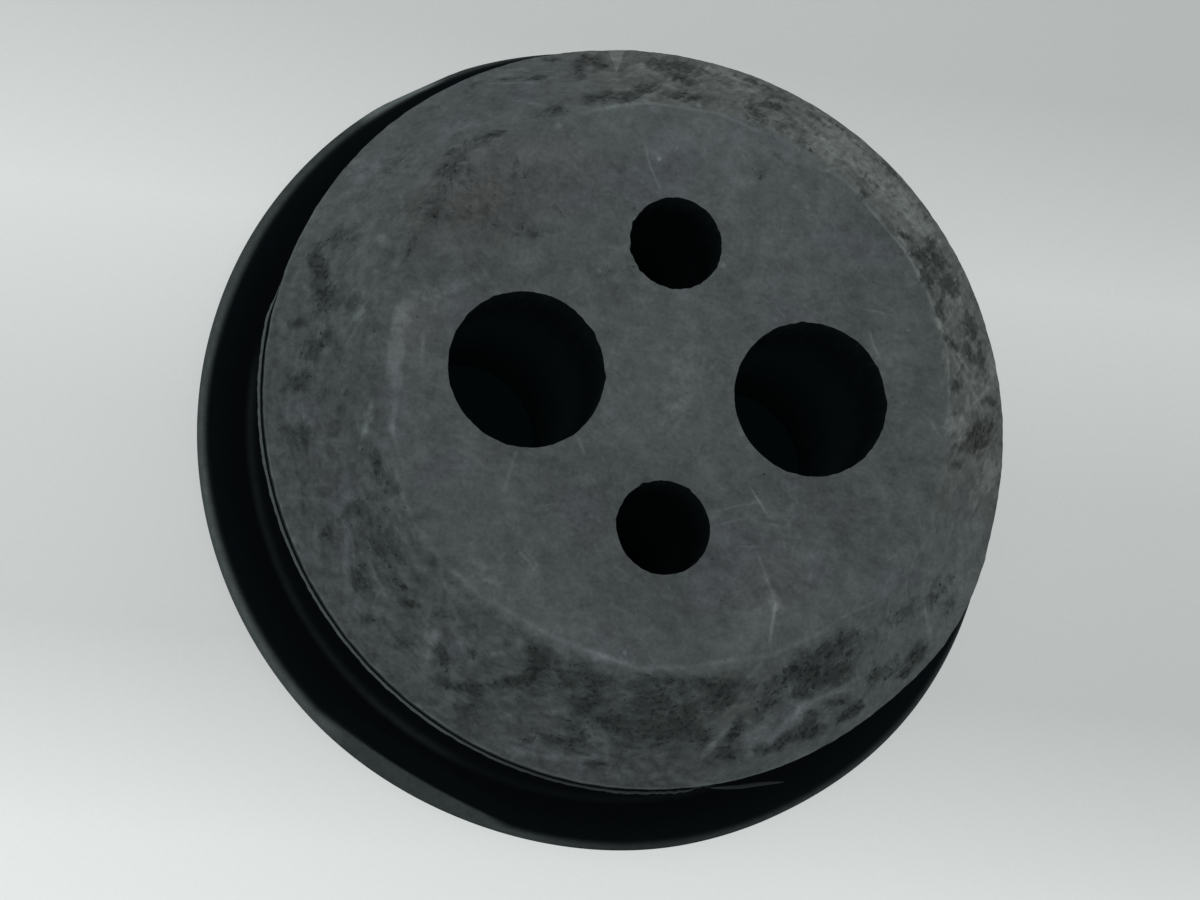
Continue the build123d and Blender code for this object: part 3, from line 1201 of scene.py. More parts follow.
# Pale lines, each with its width and strength before its points
SCRATCHES = scratches(
    (0.07, 0.55, -1.2, 7.85, -0.95, 7.0, -0.57, 6.3),
    (0.10, 0.45, -4.78, -2.6, -4.95, -3.3, -5.12, -4.0), (0.10, 0.55, -2.85, -2.0, -2.6, -2.58),
    (0.05, 0.45, -4.05, -4.32, -3.45, -4.18), (0.06, 0.25, -4.8, -4.6, -4.5, -4.9),
    (0.06, 0.5, -2.42, -4.47, -2.15, -4.47), (0.09, 0.35, -4.6, -5.7, -4.25, -6.05, -4.0, -6.35),
    (0.07, 0.75, 2.75, -3.05, 3.0, -3.4, 3.37, -3.9),
    (0.06, 0.4, 1.6, -3.96, 2.2, -3.72, 2.95, -3.5), (0.05, 0.35, 1.6, -4.38, 2.6, -4.05),
    (0.06, 0.45, 2.4, -4.95, 3.1, -4.93), (0.09, 0.55, 3.05, -5.1, 3.35, -5.8, 3.62, -6.4),
    (0.09, 0.85, 3.72, -6.6, 3.65, -7.1, 3.56, -7.95),
    (0.07, 0.3, 5.0, -7.55, 5.8, -6.95, 6.9, -6.3),
    (0.05, 0.25, 1.55, -6.95, 2.1, -6.55, 2.95, -6.2),
    (0.08, 0.35, 8.2, 0.0, 8.6, -0.35, 8.95, -0.85), (0.05, 0.3, 8.25, -3.35, 8.4, -3.8),
    (0.06, 0.25, 7.3, -4.95, 7.6, -4.7, 7.9, -4.35), (0.06, 0.45, 6.18, 3.13, 6.7, 3.1, 7.3, 3.0),
    (0.08, 0.6, 6.45, 2.45, 6.6, 2.0, 6.8, 1.62), (0.06, 0.4, 3.42, 2.8, 3.7, 2.54),
    (0.05, 0.25, 5.5, 4.7, 5.7, 4.2), (0.06, 0.3, 1.2, 0.45, 1.5, 0.9),
    (0.05, 0.3, 1.1, -1.6, 1.0, -2.1, 0.7, -2.4), (0.13, 0.4, -9.35, -1.35, -9.5, -2.55),
    (0.10, 0.3, -8.75, -1.6, -8.7, -2.3, -8.45, -3.2), (0.05, 0.3, -10.3, 3.1, -9.7, 3.7),
    (0.07, 0.4, -10.15, 1.0, -9.7, 1.7, -9.35, 2.2), (0.06, 0.35, -10.1, 0.5, -9.8, 1.1),
    (0.06, 0.55, -9.0, -5.9, -8.6, -6.6, -8.1, -7.35),
    (0.06, 0.35, -9.7, -4.9, -9.35, -5.6, -9.2, -6.4),
    (0.05, 0.3, -8.45, -4.4, -8.0, -5.1, -7.65, -5.8), (0.07, 0.35, -8.1, -6.45, -7.8, -6.7),
    (0.06, 0.4, -6.1, -9.2, -5.8, -9.7, -5.3, -10.0),
    (0.07, 0.4, -3.8, -10.42, -3.0, -10.35, -2.1, -10.3), (0.09, 0.4, -1.85, -10.5, -1.1, -11.25),
    (0.05, 0.35, -3.4, -9.0, -2.9, -9.5), (0.05, 0.4, 1.35, -10.05, 2.1, -10.02, 2.95, -10.0),
    (0.04, 0.25, 1.9, -10.35, 2.6, -10.33), (0.10, 0.4, 2.35, -11.05, 2.8, -10.5),
    (0.06, 0.35, 3.6, -8.9, 3.3, -9.6), (0.10, 0.45, 4.1, -8.4, 4.55, -9.0, 4.9, -9.5),
    (0.09, 0.65, 4.9, -9.75, 5.5, -9.3, 6.2, -8.95, 6.95, -8.7),
    (0.07, 0.4, 4.3, -10.5, 4.9, -10.1, 5.4, -9.8),
    (0.09, 0.45, -1.0, 11.1, -0.45, 10.8, 0.0, 10.45), (0.06, 0.6, -2.35, 11.4, -2.45, 10.9),
    (0.05, 0.4, -2.15, 11.35, -2.3, 10.9), (0.07, 0.5, -5.9, 10.16, -5.0, 10.05, -4.2, 9.98),
    (0.07, 0.3, 1.2, 11.2, 1.9, 10.9, 2.6, 10.95), (0.07, 0.3, 4.2, 9.9, 4.6, 9.3),
    (0.06, 0.35, 9.3, 5.6, 9.9, 6.0), (0.10, 0.45, 10.1, 4.3, 10.6, 5.1),
    (0.10, 0.5, 10.75, 2.2, 10.85, 3.0), (0.10, 0.4, 11.2, -0.9, 11.7, -0.4),
    (0.09, 0.5, -3.3, 8.5, -1.9, 9.0, -1.0, 9.15, 1.25, 9.05, 2.6, 8.6),
    (0.08, 0.55, 5.4, 7.4, 6.8, 6.0, 7.55, 5.25, 8.25, 4.3, 8.75, 3.1),
    (0.08, 0.5, 8.75, 3.1, 9.15, 2.1, 9.2, 0.9, 9.15, -0.3), (0.15, 0.6, 9.3, 2.15, 11.9, 0.25),
    (0.12, 0.55, 10.75, 2.4, 9.95, 0.1), (0.13, 0.6, 11.95, 2.3, 9.75, 0.0),
    (0.10, 0.5, 9.05, 2.6, 10.9, 1.6), (0.12, 0.5, 9.35, 1.3, 11.7, 1.9),
    (0.10, 0.45, 9.6, 0.5, 11.6, 1.0), (0.14, 0.35, -9.82, -4.2, -9.53, -5.9, -9.2, -7.6),
    (0.17, 0.4, -8.95, -6.3, -8.05, -7.3), (0.14, 0.35, -8.6, -4.9, -7.35, -6.4),
    (0.22, 0.5, -6.7, -8.1, -6.8, -9.6), (0.15, 0.4, -5.9, -9.15, -4.1, -8.6),
    (0.12, 0.35, -6.25, -8.9, -5.45, -9.95), (0.22, 0.5, -1.85, -10.4, -0.6, -11.5),
    (0.18, 0.35, 0.6, -9.4, 1.15, -10.3), (0.18, 0.6, 3.15, -10.0, 2.3, -11.1),
    (0.24, 0.55, 5.6, -9.0, 4.7, -10.2, 3.85, -11.1), (0.12, 0.5, 7.2, -8.3, 5.2, -9.6),
    (0.14, 0.45, -3.15, -10.4, -2.15, -10.25), (0.14, 0.4, -2.95, -11.1, -1.85, -10.8),
    (0.14, 0.4, -2.8, -11.55, -0.5, -11.5), (0.12, 0.4, 3.4, -8.5, 2.55, -9.65),
    (0.13, 0.35, -8.85, -2.7, -7.9, -5.1, -6.8, -6.4, -5.05, -7.7),
    (0.16, 0.45, -5.6, -7.3, -3.1, -8.45, -0.55, -9.1, 1.35, -8.9),
    (0.13, 0.3, 0.6, -9.0, 3.6, -8.3, 5.8, -7.15),
)

# Pinhead marks, pale above zero and dark below
DOTS = dots(
    (-0.67, 7.3, 0.06, 1.0), (-0.1, 7.73, 0.05, 0.5), (-3.97, 8.0, 0.09, 0.5),
    (-3.54, 7.71, 0.05, 0.35), (1.57, 4.05, 0.09, 0.6), (4.25, 6.3, 0.1, 0.45),
    (3.8, 6.88, 0.08, 0.45), (7.75, 2.6, 0.06, 0.5), (-1.04, -8.64, 0.07, 0.7),
    (-8.48, -4.4, 0.08, 0.5), (0.8, -8.95, 0.05, 0.5), (-1.16, -6.9, 0.05, 0.35),
    (-2.43, 3.43, 0.06, 0.4), (-4.65, 3.43, 0.05, 0.3), (7.15, -5.75, 0.06, 0.3),
    (1.62, -4.1, 0.06, 0.6), (0.6, 9.3, 0.08, 0.4), (9.3, 5.0, 0.06, 0.4),
    (-5.26, -4.28, 0.08, -0.8), (-2.51, -3.15, 0.07, -0.7), (7.23, 1.86, 0.08, -0.8),
    (7.63, 1.3, 0.08, -0.6), (3.68, 6.8, 0.07, -0.7), (4.0, 6.7, 0.06, -0.6),
    (4.45, 6.15, 0.05, -0.5), (8.0, -3.1, 0.1, -0.8), (8.1, -1.65, 0.07, -0.6),
    (7.45, -2.0, 0.06, -0.6), (6.0, -7.0, 0.06, -0.4), (10.85, -4.66, 0.12, -0.7),
    (-6.88, -7.88, 0.11, -1.0), (-9.85, -6.2, 0.09, -0.8), (-11.25, -3.1, 0.07, -0.6),
    (-11.15, -2.75, 0.08, -0.7), (-7.4, 5.95, 0.08, -0.7), (-6.57, 4.45, 0.09, -0.6),
    (-7.55, 8.95, 0.08, -0.7), (-8.2, 0.8, 0.06, -0.6), (1.4, 8.05, 0.1, -0.6),
    (-1.3, 0.9, 0.08, -0.3), (1.55, -5.9, 0.07, -0.6), (1.2, -6.25, 0.08, -0.6),
    (-2.75, 7.98, 0.05, -0.5), (-2.2, 7.8, 0.06, -0.6), (-2.9, 7.6, 0.04, -0.4),
    (0.7, -11.9, 0.06, -0.5), (9.7, -7.0, 0.08, -1.0), (9.1, -7.7, 0.09, -1.0),
    (8.7, -8.1, 0.06, -0.8), (5.7, -8.85, 0.07, -0.8), (9.85, 1.5, 0.1, -0.5),
)


# The worn top

@dataclass
class ScuffedTop:
    """The worn face and taper of the plug: its points, and the wear and painted light that each one
    carries.
    """

    sizes: GrommetSizes
    spacing: float = 0.135
    jitter: float = 0.3
    line_step: float = 0.11
    line_cell: float = 0.07
    edge_inset: float = 0.07
    edge_gap: float = 0.13
    bore_gap: float = 0.16
    wedge_steps: int = 16
    wedge_side: float = 0.025
    dot_steps: int = 8
    dent: float = 0.012
    seed: int = 23
    hairlines: int = 90
    hairline_reach: float = 11.6
    smears: int = 80
    smear_start: float = 9.4
    smear_run: float = 2.5
    base_tone: float = 0.298
    pale_lift: float = 0.022
    dull_drop: float = 0.026
    crest_rub_and_highlight_lift: float = 0.05
    scratches: list = field(default_factory=list)
    edge_turns: np.ndarray | None = None
    edge_reaches: np.ndarray | None = None

    def __post_init__(self) -> None:
        """Adds faint random hairlines and smears to the scratches that have a place."""
        draw = np.random.default_rng(self.seed).random
        self.scratches = list(SCRATCHES)
        for _ in range(self.hairlines):
            reach = self.hairline_reach * math.sqrt(draw())
            where = draw() * FULL_TURN
            way = draw() * math.pi
            half = 0.25 + 0.7 * draw() ** 2
            bend = (draw() - 0.5) * 0.25 * half
            self._add_hair(reach, where, way, half, bend, 0.05, 0.08 + 0.2 * draw())
        for _ in range(self.smears):
            reach = self.smear_start + self.smear_run * draw()
            where = draw() * FULL_TURN
            way = where + math.pi / 2 + (draw() - 0.5) * 2.2
            half = 0.3 + 0.5 * draw()
            self._add_hair(reach, where, way, half, None, 0.08 + 0.1 * draw(), 0.3)

    def _add_hair(self, reach: float, where: float, way: float, half: float,
                  bend: float | None, width: float, strength: float) -> None:
        """Adds one short line to the scratches.

        Args:
            reach: the distance of its middle from the axis.
            where: the bearing of its middle, in radians.
            way: the way it runs, in radians.
            half: half its length.
            bend: how far its middle stands aside, or None for a line of two points.
            width: its width.
            strength: how pale it is.
        """
        x, y = reach * math.cos(where), reach * math.sin(where)
        dx, dy = half * math.cos(way), half * math.sin(way)
        middle = [] if bend is None else [(x - dy * bend, y + dx * bend)]
        points = ((x - dx, y - dy), *middle, (x + dx, y + dy))
        self.scratches.append(Scratch(points, width, strength))

    def _line_points(self) -> np.ndarray:
        """Gives extra points along and beside every scratch, round every dot and on the V.

        Returns:
            The plan points.
        """
        found = []
        for scratch in self.scratches:
            for (x0, y0), (x1, y1) in zip(scratch.points, scratch.points[1:]):
                length = math.hypot(x1 - x0, y1 - y0)
                across = (-(y1 - y0) / length, (x1 - x0) / length)
                steps = max(2, round(length / self.line_step))
                for k in range(steps + 1):
                    share = k / steps
                    x, y = x0 + (x1 - x0) * share, y0 + (y1 - y0) * share
                    for offset in (-scratch.width, 0.0, scratch.width):
                        found.append((x + across[0] * offset, y + across[1] * offset))
        for dot in DOTS:
            found.append((dot.x, dot.y))
            for reach in (0.8, 1.5):
                for k in range(self.dot_steps):
                    turn = FULL_TURN * k / self.dot_steps
                    found.append((dot.x + dot.radius * reach * math.cos(turn),
                                  dot.y + dot.radius * reach * math.sin(turn)))
        *corners, apex = EDGE_WEDGE
        for corner in corners:
            for k in range(self.wedge_steps):
                share = k / self.wedge_steps
                x = apex[0] + (corner[0] - apex[0]) * share
                y = apex[1] + (corner[1] - apex[1]) * share
                found += [(x - self.wedge_side, y), (x + self.wedge_side, y)]
        return np.array(found)

    def _field_points(self, taken: np.ndarray) -> np.ndarray:
        """Gives a jittered hexagonal field of points that keeps clear of the lines.

        Args:
            taken: points that are already there.

        Returns:
            The points of the field.
        """
        chance = np.random.default_rng(self.seed + 1)
        step = self.spacing
        count = int(2 * self.sizes.plug_radius / step) + 2
        rows, columns = np.meshgrid(np.arange(count * 1.2), np.arange(count), indexing="ij")
        x = (columns + 0.5 * (rows % 2)) * step - self.sizes.plug_radius
        y = rows * step * math.sqrt(0.75) - self.sizes.plug_radius
        points = np.stack([x.ravel(), y.ravel()], 1)
        points += (chance.random(points.shape) - 0.5) * step * self.jitter
        keys = {(round(a / self.line_cell), round(b / self.line_cell)) for a, b in taken}
        cells = np.round(points / self.line_cell).astype(int)
        near = (-1, 0, 1)
        free = [not any((i + a, j + b) in keys for a in near for b in near) for i, j in cells]
        return points[np.array(free)]

    def build(self, edge: np.ndarray, mouths: list) -> tuple:
        """Joins the plug's edge and the bore mouths by a skin of triangles.

        Args:
            edge: the plug's edge as a closed loop of plan points.
            mouths: the loops of the bore mouths.

        Returns:
            The points in space and the triangles.
        """
        rim = self.sizes.plug_radius
        lines = self._line_points()
        points = np.concatenate([lines, self._field_points(lines)])
        keep = np.hypot(points[:, 0], points[:, 1]) < rim - self.edge_gap
        keep &= self.sizes.wall_gap(points) > self.bore_gap
        self.edge_turns = bearing(edge[:, 0], edge[:, 1])
        self.edge_reaches = np.hypot(edge[:, 0], edge[:, 1])
        ring = edge * (1.0 - self.edge_inset / self.edge_reaches)[:, None]
        flat, triangles = join_loops(np.concatenate([points[keep], ring]), [edge, *mouths])
        reach = np.hypot(flat[:, 0], flat[:, 1])
        shift = self._edge_at(bearing(flat[:, 0], flat[:, 1])) - rim
        height = self.sizes.top_height(reach - shift * smooth_step(rim - 1.2, rim - 0.4, reach))
        inner = smooth_step(rim - 0.4, rim - 0.6, reach)
        inner *= smooth_step(0.11, 0.3, self.sizes.wall_gap(flat))
        height = height - self.dent * np.clip(self.line_field(flat), 0.0, 1.0) * inner
        return np.column_stack([flat, height]), triangles

    def _edge_at(self, angle: np.ndarray) -> np.ndarray:
        """Returns the reach of the plug's edge at each bearing."""
        order = np.argsort(self.edge_turns)
        return np.interp(angle, self.edge_turns[order], self.edge_reaches[order], period=360.0)

    @staticmethod
    def patch_field(flat: np.ndarray, areas: tuple) -> np.ndarray:
        """Adds up soft oval patches.

        Args:
            flat: plan points.
            areas: the patches.

        Returns:
            The cover at each point, from 0 to 1.
        """
        clear = np.ones(len(flat))
        for patch in areas:
            turn = math.radians(patch.turn)
            dx, dy = flat[:, 0] - patch.x, flat[:, 1] - patch.y
            along = (dx * math.cos(turn) + dy * math.sin(turn)) / patch.along
            across = (dy * math.cos(turn) - dx * math.sin(turn)) / patch.across
            square = along**2 + across**2
            clear *= 1.0 - patch.strength * np.exp(-0.55 * square**1.5)
        return 1.0 - clear

    def line_field(self, flat: np.ndarray) -> np.ndarray:
        """Gives the pale lines and the dots.

        Args:
            flat: plan points.

        Returns:
            The strength at each point, below zero in dark dots.
        """
        total = np.zeros(len(flat))
        for scratch in self.scratches:
            best = np.zeros(len(flat))
            pieces = list(zip(scratch.points, scratch.points[1:]))
            for number, ((x0, y0), (x1, y1)) in enumerate(pieces):
                length = math.hypot(x1 - x0, y1 - y0)
                ux, uy = (x1 - x0) / length, (y1 - y0) / length
                dx, dy = flat[:, 0] - x0, flat[:, 1] - y0
                along = np.clip(dx * ux + dy * uy, 0.0, length)
                gap = np.hypot(dx - along * ux, dy - along * uy)
                place = (number + along / length) / len(pieces)
                fade = 0.35 + 0.65 * np.sin(np.pi * np.clip(place, 0.0, 1.0)) ** 0.5
                best = np.maximum(best, fade * np.clip(1.0 - gap / scratch.width, 0.0, 1.0))
            total = np.maximum(total, best * scratch.strength)
        for dot in DOTS:
            gap = np.hypot(flat[:, 0] - dot.x, flat[:, 1] - dot.y) / dot.radius
            spot = np.clip(1.6 - gap, 0.0, 1.0)
            total = np.where(spot > 0.0, total * (1 - spot) + dot.strength * spot, total)
        return np.maximum(total, WEDGE_STRENGTH * self._wedge(flat))

    @staticmethod
    def _wedge(flat: np.ndarray) -> np.ndarray:
        """Gives the cover of the pale V at the plug's edge.

        Args:
            flat: plan points.

        Returns:
            1 inside the V and 0 outside it.
        """
        *corners, apex = EDGE_WEDGE
        rise = flat[:, 1] - apex[1]
        right, left = (apex[0] + (corner[0] - apex[0]) * rise / (corner[1] - apex[1])
                       for corner in corners)
        gap = np.minimum(right - flat[:, 0], flat[:, 0] - left)
        return np.clip(0.5 + gap / 0.05, 0.0, 1.0) * (rise > 0.0)

    def wear(self, flat: np.ndarray) -> dict:
        """Works out all the wear that the material reads, with painted shade and painted highlights
        in the tone.

        Args:
            flat: plan points.

        Returns:
            One array of numbers for each attribute.
        """
        reach = np.hypot(flat[:, 0], flat[:, 1])
        angle = bearing(flat[:, 0], flat[:, 1])
        taper = smooth_step(self.sizes.face_radius - 0.1, self.sizes.face_radius + 0.15, reach)
        lower = sector(angle, -90.0, 55.0, 0.0)
        lower_left = sector(angle, -140.0, 85.0, 45.0)
        left = sector(angle, -150.0, 60.0, 20.0)
        upper_left = sector(angle, 150.0, 40.0, 5.0)
        far_side = sector(angle, 60.0, 60.0, 10.0)
        to_edge = self._edge_at(angle) - reach
        edge_strip = smooth_step(0.5, 0.2, to_edge)
        # A pale line along the plug's near edge, partly rub wear and partly a painted highlight.
        crest_rub_and_highlight = smooth_step(0.065, 0.02, to_edge) * sector(angle, -135.0, 80.0, 64.0)
        bare = self.patch_field(flat, BARE_PATCHES)
        bare = 1.0 - (1.0 - bare) * (1.0 - taper * (0.14 + 0.10 * lower) * (1 - edge_strip))
        bare = np.clip(bare - 0.38 * edge_strip * np.maximum(lower, lower_left), 0.0, 1.0)
        tone = self.base_tone + 0.010 * np.exp(-((reach / 3.5) ** 2))
        tone = tone + self.pale_lift * self.patch_field(flat, PALE_AREAS)
        tone = tone - self.dull_drop * self.patch_field(flat, DULL_AREAS)
        # The taper is painted darker on its lower and left sides and lighter on the far side and
        # upper left: painted shade and painted highlight.
        tone = tone + taper * (0.010 - 0.036 * lower - 0.012 * left + 0.020 * far_side
                               + 0.020 * upper_left)
        tone = tone + (1.0 - taper) * 0.008 * smooth_step(5.0, 8.5, flat[:, 1])
        return {
            "tone": tone + crest_rub_and_highlight * self.crest_rub_and_highlight_lift,
            "bare": bare,
            "rub": self.patch_field(flat, RUBBED_PATCHES),
            "warm": self.patch_field(flat, WARM_AREAS),
            "line": self.line_field(flat),
            "slant": taper * sector(angle, 45.0, 75.0, 45.0),
            "round_way": taper * lower_left,
        }


# Skins between loops

def join_loops(points: np.ndarray, loops: list) -> tuple:
    """Fills the plan between an outer loop and its holes with triangles.

    Args:
        points: loose plan points between the loops.
        loops: the outer loop first, then the holes.

    Returns:
        The plan points, with the loops last, and the triangles.
    """
    corners = [Vector(p) for p in points]
    edges = []
    for loop in loops:
        first = len(corners)
        corners += [Vector(p) for p in loop]
        edges += [(first + k, first + (k + 1) % len(loop)) for k in range(len(loop))]
    flat, _, faces, origin, _, _ = delaunay_2d_cdt(corners, edges, [], 1, 1e-6)
    flat = np.array([(v.x, v.y) for v in flat])
    faces = np.array(faces)
    known = np.array([o[0] if o else -1 for o in origin])[faces]
    solid = np.ones(len(faces), bool)
    first = len(points) + len(loops[0])
    # A triangle lies in a hole when its corners are all on that loop and turn the way it does
    for loop in loops[1:]:
        on_loop = ((known >= first) & (known < first + len(loop))).all(axis=1)
        order = np.clip(np.sort(known, axis=1) - first, 0, len(loop) - 1)
        a, b, c = (loop[order[:, k]] for k in range(3))
        turn = (b - a)[:, 0] * (c - a)[:, 1] - (b - a)[:, 1] * (c - a)[:, 0]
        after = np.roll(loop, -1, axis=0)
        way = np.sum(loop[:, 0] * after[:, 1] - loop[:, 1] * after[:, 0])
        solid &= ~(on_loop & (turn * way > 0.0))
        first += len(loop)
    return flat, faces[solid]


def open_loops(mesh: Mesh) -> list:
    """Finds the loops of open edges of a mesh.

    Args:
        mesh: the mesh.

    Returns:
        Each loop's points in space, in order, in millimetres.
    """
    work = bmesh.new()
    work.from_mesh(mesh)
    follow: dict = {}
    for edge in work.edges:
        if edge.is_boundary:
            a, b = edge.verts
            follow.setdefault(a.index, []).append(b.index)
            follow.setdefault(b.index, []).append(a.index)
    work.verts.ensure_lookup_table()
    loops, seen = [], set()
    for start in follow:
        if start in seen:
            continue
        chain, last, here = [start], None, start
        while True:
            onward = [v for v in follow[here] if v != last]
            last, here = here, onward[0]
            if here == start:
                break
            chain.append(here)
        seen.update(chain)
        loops.append(np.array([work.verts[v].co[:] for v in chain]) / MM)
    work.free()
    return loops


# The whole moulding

@dataclass(frozen=True)
class Trim:
    """A place where the flange's round edge was pared off by a straight cut."""

    bearing: float
    reach: float
    lean: float


@dataclass(frozen=True)
class Swell:
    """A stretch where the edge stands out, or is worn back where its reach is below zero."""

    bearing: float
    half_angle: float
    reach: float

    def push(self, angle: float) -> float:
        """Returns the shift outward at a bearing."""
        gap = float(turn_gap(angle, self.bearing)) / self.half_angle
        return self.reach * max(0.0, 1.0 - gap * gap) ** 2


@dataclass
class Moulding:
    """The whole grommet as one closed mesh."""

    sizes: GrommetSizes
    trims: tuple = (
        Trim(-116.5, 13.33, 40.0), Trim(-171.5, 13.52, 5.0), Trim(176.0, 13.52, 5.0),
        Trim(121.0, 13.51, 20.0),
    )
    trim_height: float = 1.05
    edge_swells: tuple = (Swell(96.0, 50.0, -0.16), Swell(-29.0, 20.0, 0.16))
    rim_swells: tuple = (Swell(-36.0, 26.0, 0.10), Swell(-104.0, 30.0, -0.10))
    weld: float = 0.002
    sharp_angle: float = 38.0
    swell_above: float = 0.05
    # The rings of points on the underside: the first one, their spacing, how far the last one
    # keeps clear of the round edge and of the bores, and how many points for each millimetre
    base_start: float = 0.6
    base_step: float = 0.45
    base_clear: float = 0.2
    bore_clear: float = 0.15
    base_count: int = 14
    # The faint grey line at the neck's foot, a painted highlight
    foot_line: float = 11.95
    foot_half: float = 0.1
    foot_top: float = 2.6
    # The painted reflection on the flange's round edge: its grey by bearing from -165 degrees
    rim_reflection_greys: tuple = (
        (-180, 0.24), (-110, 0.30), (-85, 0.38), (-60, 0.40), (-40, 0.50), (0, 0.80),
        (42, 0.68), (66, 0.43), (80, 0.24), (110, 0.32), (180, 0.24),
    )

    def build(self) -> bpy.types.Object:
        """Makes every surface and joins them.

        Returns:
            The finished piece.
        """
        finishes = [ScuffedRubber().build(), CleanRubber().build(), BoreRubber().build(),
                    LipRubber().build()]
        side = MouldedSide(self.sizes).build(finishes[Skin.CLEAN.value])
        self._wear_edge(side)
        self._trim_rim(side)
        walls = BoreWalls(self.sizes).build(finishes[Skin.BORE.value])
        flash = FlashLip(self.sizes)
        lip = flash.build(finishes[Skin.LIP.value])
        strand = flash.build_strand(finishes[Skin.LIP.value])
        log.info("side %d faces, bores %d, lip %d, strand %d", len(side.polygons),
                 len(walls.polygons), len(lip.polygons), len(strand.polygons))
        top_loops, base_loops = self._sorted_loops(side, walls)
        top = ScuffedTop(self.sizes)
        work = bmesh.new()
        self._add(work, *top.build(top_loops[0], top_loops[1:]), Skin.SCUFFED)
        self._add(work, *self._underside(base_loops), Skin.CLEAN)
        self._add_mesh(work, side, Skin.CLEAN)
        self._add_mesh(work, walls, Skin.BORE)
        bmesh.ops.remove_doubles(work, verts=work.verts, dist=self.weld * MM)
        bmesh.ops.recalc_face_normals(work, faces=work.faces)
        open_edges = sum(1 for e in work.edges if not e.is_manifold)
        log.info("moulding: %d faces, %d open edges", len(work.faces), open_edges)
        self._add_mesh(work, lip, Skin.LIP)
        self._add_mesh(work, strand, Skin.LIP)
        mesh = bpy.data.meshes.new("grommet_moulding")
        work.to_mesh(mesh)
        work.free()
        for finish in finishes:
            mesh.materials.append(finish)
        mesh.shade_smooth()
        mesh.set_sharp_from_angle(angle=math.radians(self.sharp_angle))
        self._paint(mesh, top)
        return new_object("grommet_moulding", mesh)

    def _sorted_loops(self, side: Mesh, walls: Mesh) -> tuple:
        """Finds the loops that the top and the underside have to meet.

        Args:
            side: the side of the moulding.
            walls: the bore walls.

        Returns:
            The top's loops and the base's loops, the outer one first.
        """
        top, base = [], []
        for loop in open_loops(side):
            upper = loop[:, 2].mean() > self.sizes.flange_thickness
            (top if upper else base).append(loop[:, :2])
        found = open_loops(walls)
        for bore in self.sizes.bores:
            for loop in found:
                x, y, z = loop.mean(axis=0)
                if math.hypot(x - bore.x, y - bore.y) < bore.radius / 2:
                    (top if z > self.sizes.height / 2 else base).append(loop[:, :2])
        return top, base

    def _underside(self, loops: list) -> tuple:
        """Fills the flat base between its loops, with plain widely spaced points.

        Args:
            loops: the base's outer loop, then the bores.

        Returns:
            The points in space and the triangles.
        """
        reaches = np.arange(self.base_start, self.sizes.rim_centre - self.base_clear,
                            self.base_step)
        points = np.array([
            (r * math.cos(a), r * math.sin(a))
            for r in reaches
            for a in np.linspace(0, FULL_TURN, max(6, int(r * self.base_count)), endpoint=False)
        ])
        keep = self.sizes.wall_gap(points) > self.bore_clear
        flat, faces = join_loops(points[keep], loops)
        return np.column_stack([flat, np.zeros(len(flat))]), faces

    def _wear_edge(self, side: Mesh) -> None:
        """Lets the plug's edge and the flange's edge swell and wear back.

        Args:
            side: the side of the moulding.
        """
        sizes = self.sizes
        for vertex in side.vertices:
            x, y, z = (c / MM for c in vertex.co)
            reach = math.hypot(x, y)
            if z > sizes.head_base + self.swell_above:
                swells = self.edge_swells
                share = (z - sizes.head_base) / (sizes.shoulder - sizes.head_base)
            elif reach > sizes.rim_centre + self.swell_above:
                swells = self.rim_swells
                share = (reach - sizes.rim_centre) / sizes.rim_round
            else:
                continue
            angle = math.degrees(math.atan2(y, x))
            push = share * sum(swell.push(angle) for swell in swells)
            vertex.co.x += x / reach * push * MM
            vertex.co.y += y / reach * push * MM

    def _trim_rim(self, side: Mesh) -> None:
        """Presses the flange's edge onto the planes where it was trimmed.

        Args:
            side: the side of the moulding.
        """
        planes = []
        for trim in self.trims:
            turn, lean = math.radians(trim.bearing), math.radians(trim.lean)
            normal = Vector((math.cos(turn) * math.cos(lean), math.sin(turn) * math.cos(lean),
                             math.sin(lean)))
            point = Vector((math.cos(turn) * trim.reach * MM, math.sin(turn) * trim.reach * MM,
                            self.trim_height * MM))
            planes.append((point, normal))
        for vertex in side.vertices:
            if vertex.co.z > (self.sizes.flange_thickness + 0.01) * MM:
                continue
            for point, normal in planes:
                over = (vertex.co - point).dot(normal)
                if over > 0.0:
                    vertex.co -= normal * over

    @staticmethod
    def _add(work: bmesh.types.BMesh, points: np.ndarray, faces: np.ndarray, skin: Skin) -> None:
        """Adds triangles to the working mesh.

        Args:
            work: the working mesh.
            points: the corners in millimetres.
            faces: three corner numbers for each triangle.
            skin: their finish.
        """
        verts = [work.verts.new(Vector(p) * MM) for p in points]
        for face in faces:
            work.faces.new([verts[k] for k in face]).material_index = skin.value

    @staticmethod
    def _add_mesh(work: bmesh.types.BMesh, mesh: Mesh, skin: Skin) -> None:
        """Adds another mesh to the working mesh.

        Args:
            work: the working mesh.
            mesh: the mesh that goes in.
            skin: its finish.
        """
        verts = [work.verts.new(v.co) for v in mesh.vertices]
        for polygon in mesh.polygons:
            work.faces.new([verts[k] for k in polygon.vertices]).material_index = skin.value

    def _paint(self, mesh: Mesh, top: ScuffedTop) -> None:
        """Writes the wear and the painted light as vertex attributes.

        Args:
            mesh: the moulding.
            top: the worn top, which knows its own marks.
        """
        points = np.zeros(len(mesh.vertices) * 3)
        mesh.vertices.foreach_get("co", points)
        points = points.reshape(-1, 3) / MM
        x, y = points[:, 0], points[:, 1]
        fields = top.wear(points[:, :2])
        fields["painted_sheen"] = self._painted_sheen(points)
        loose = smooth_step(12.32, 12.45, np.hypot(x, y)) * (x > 3.0)
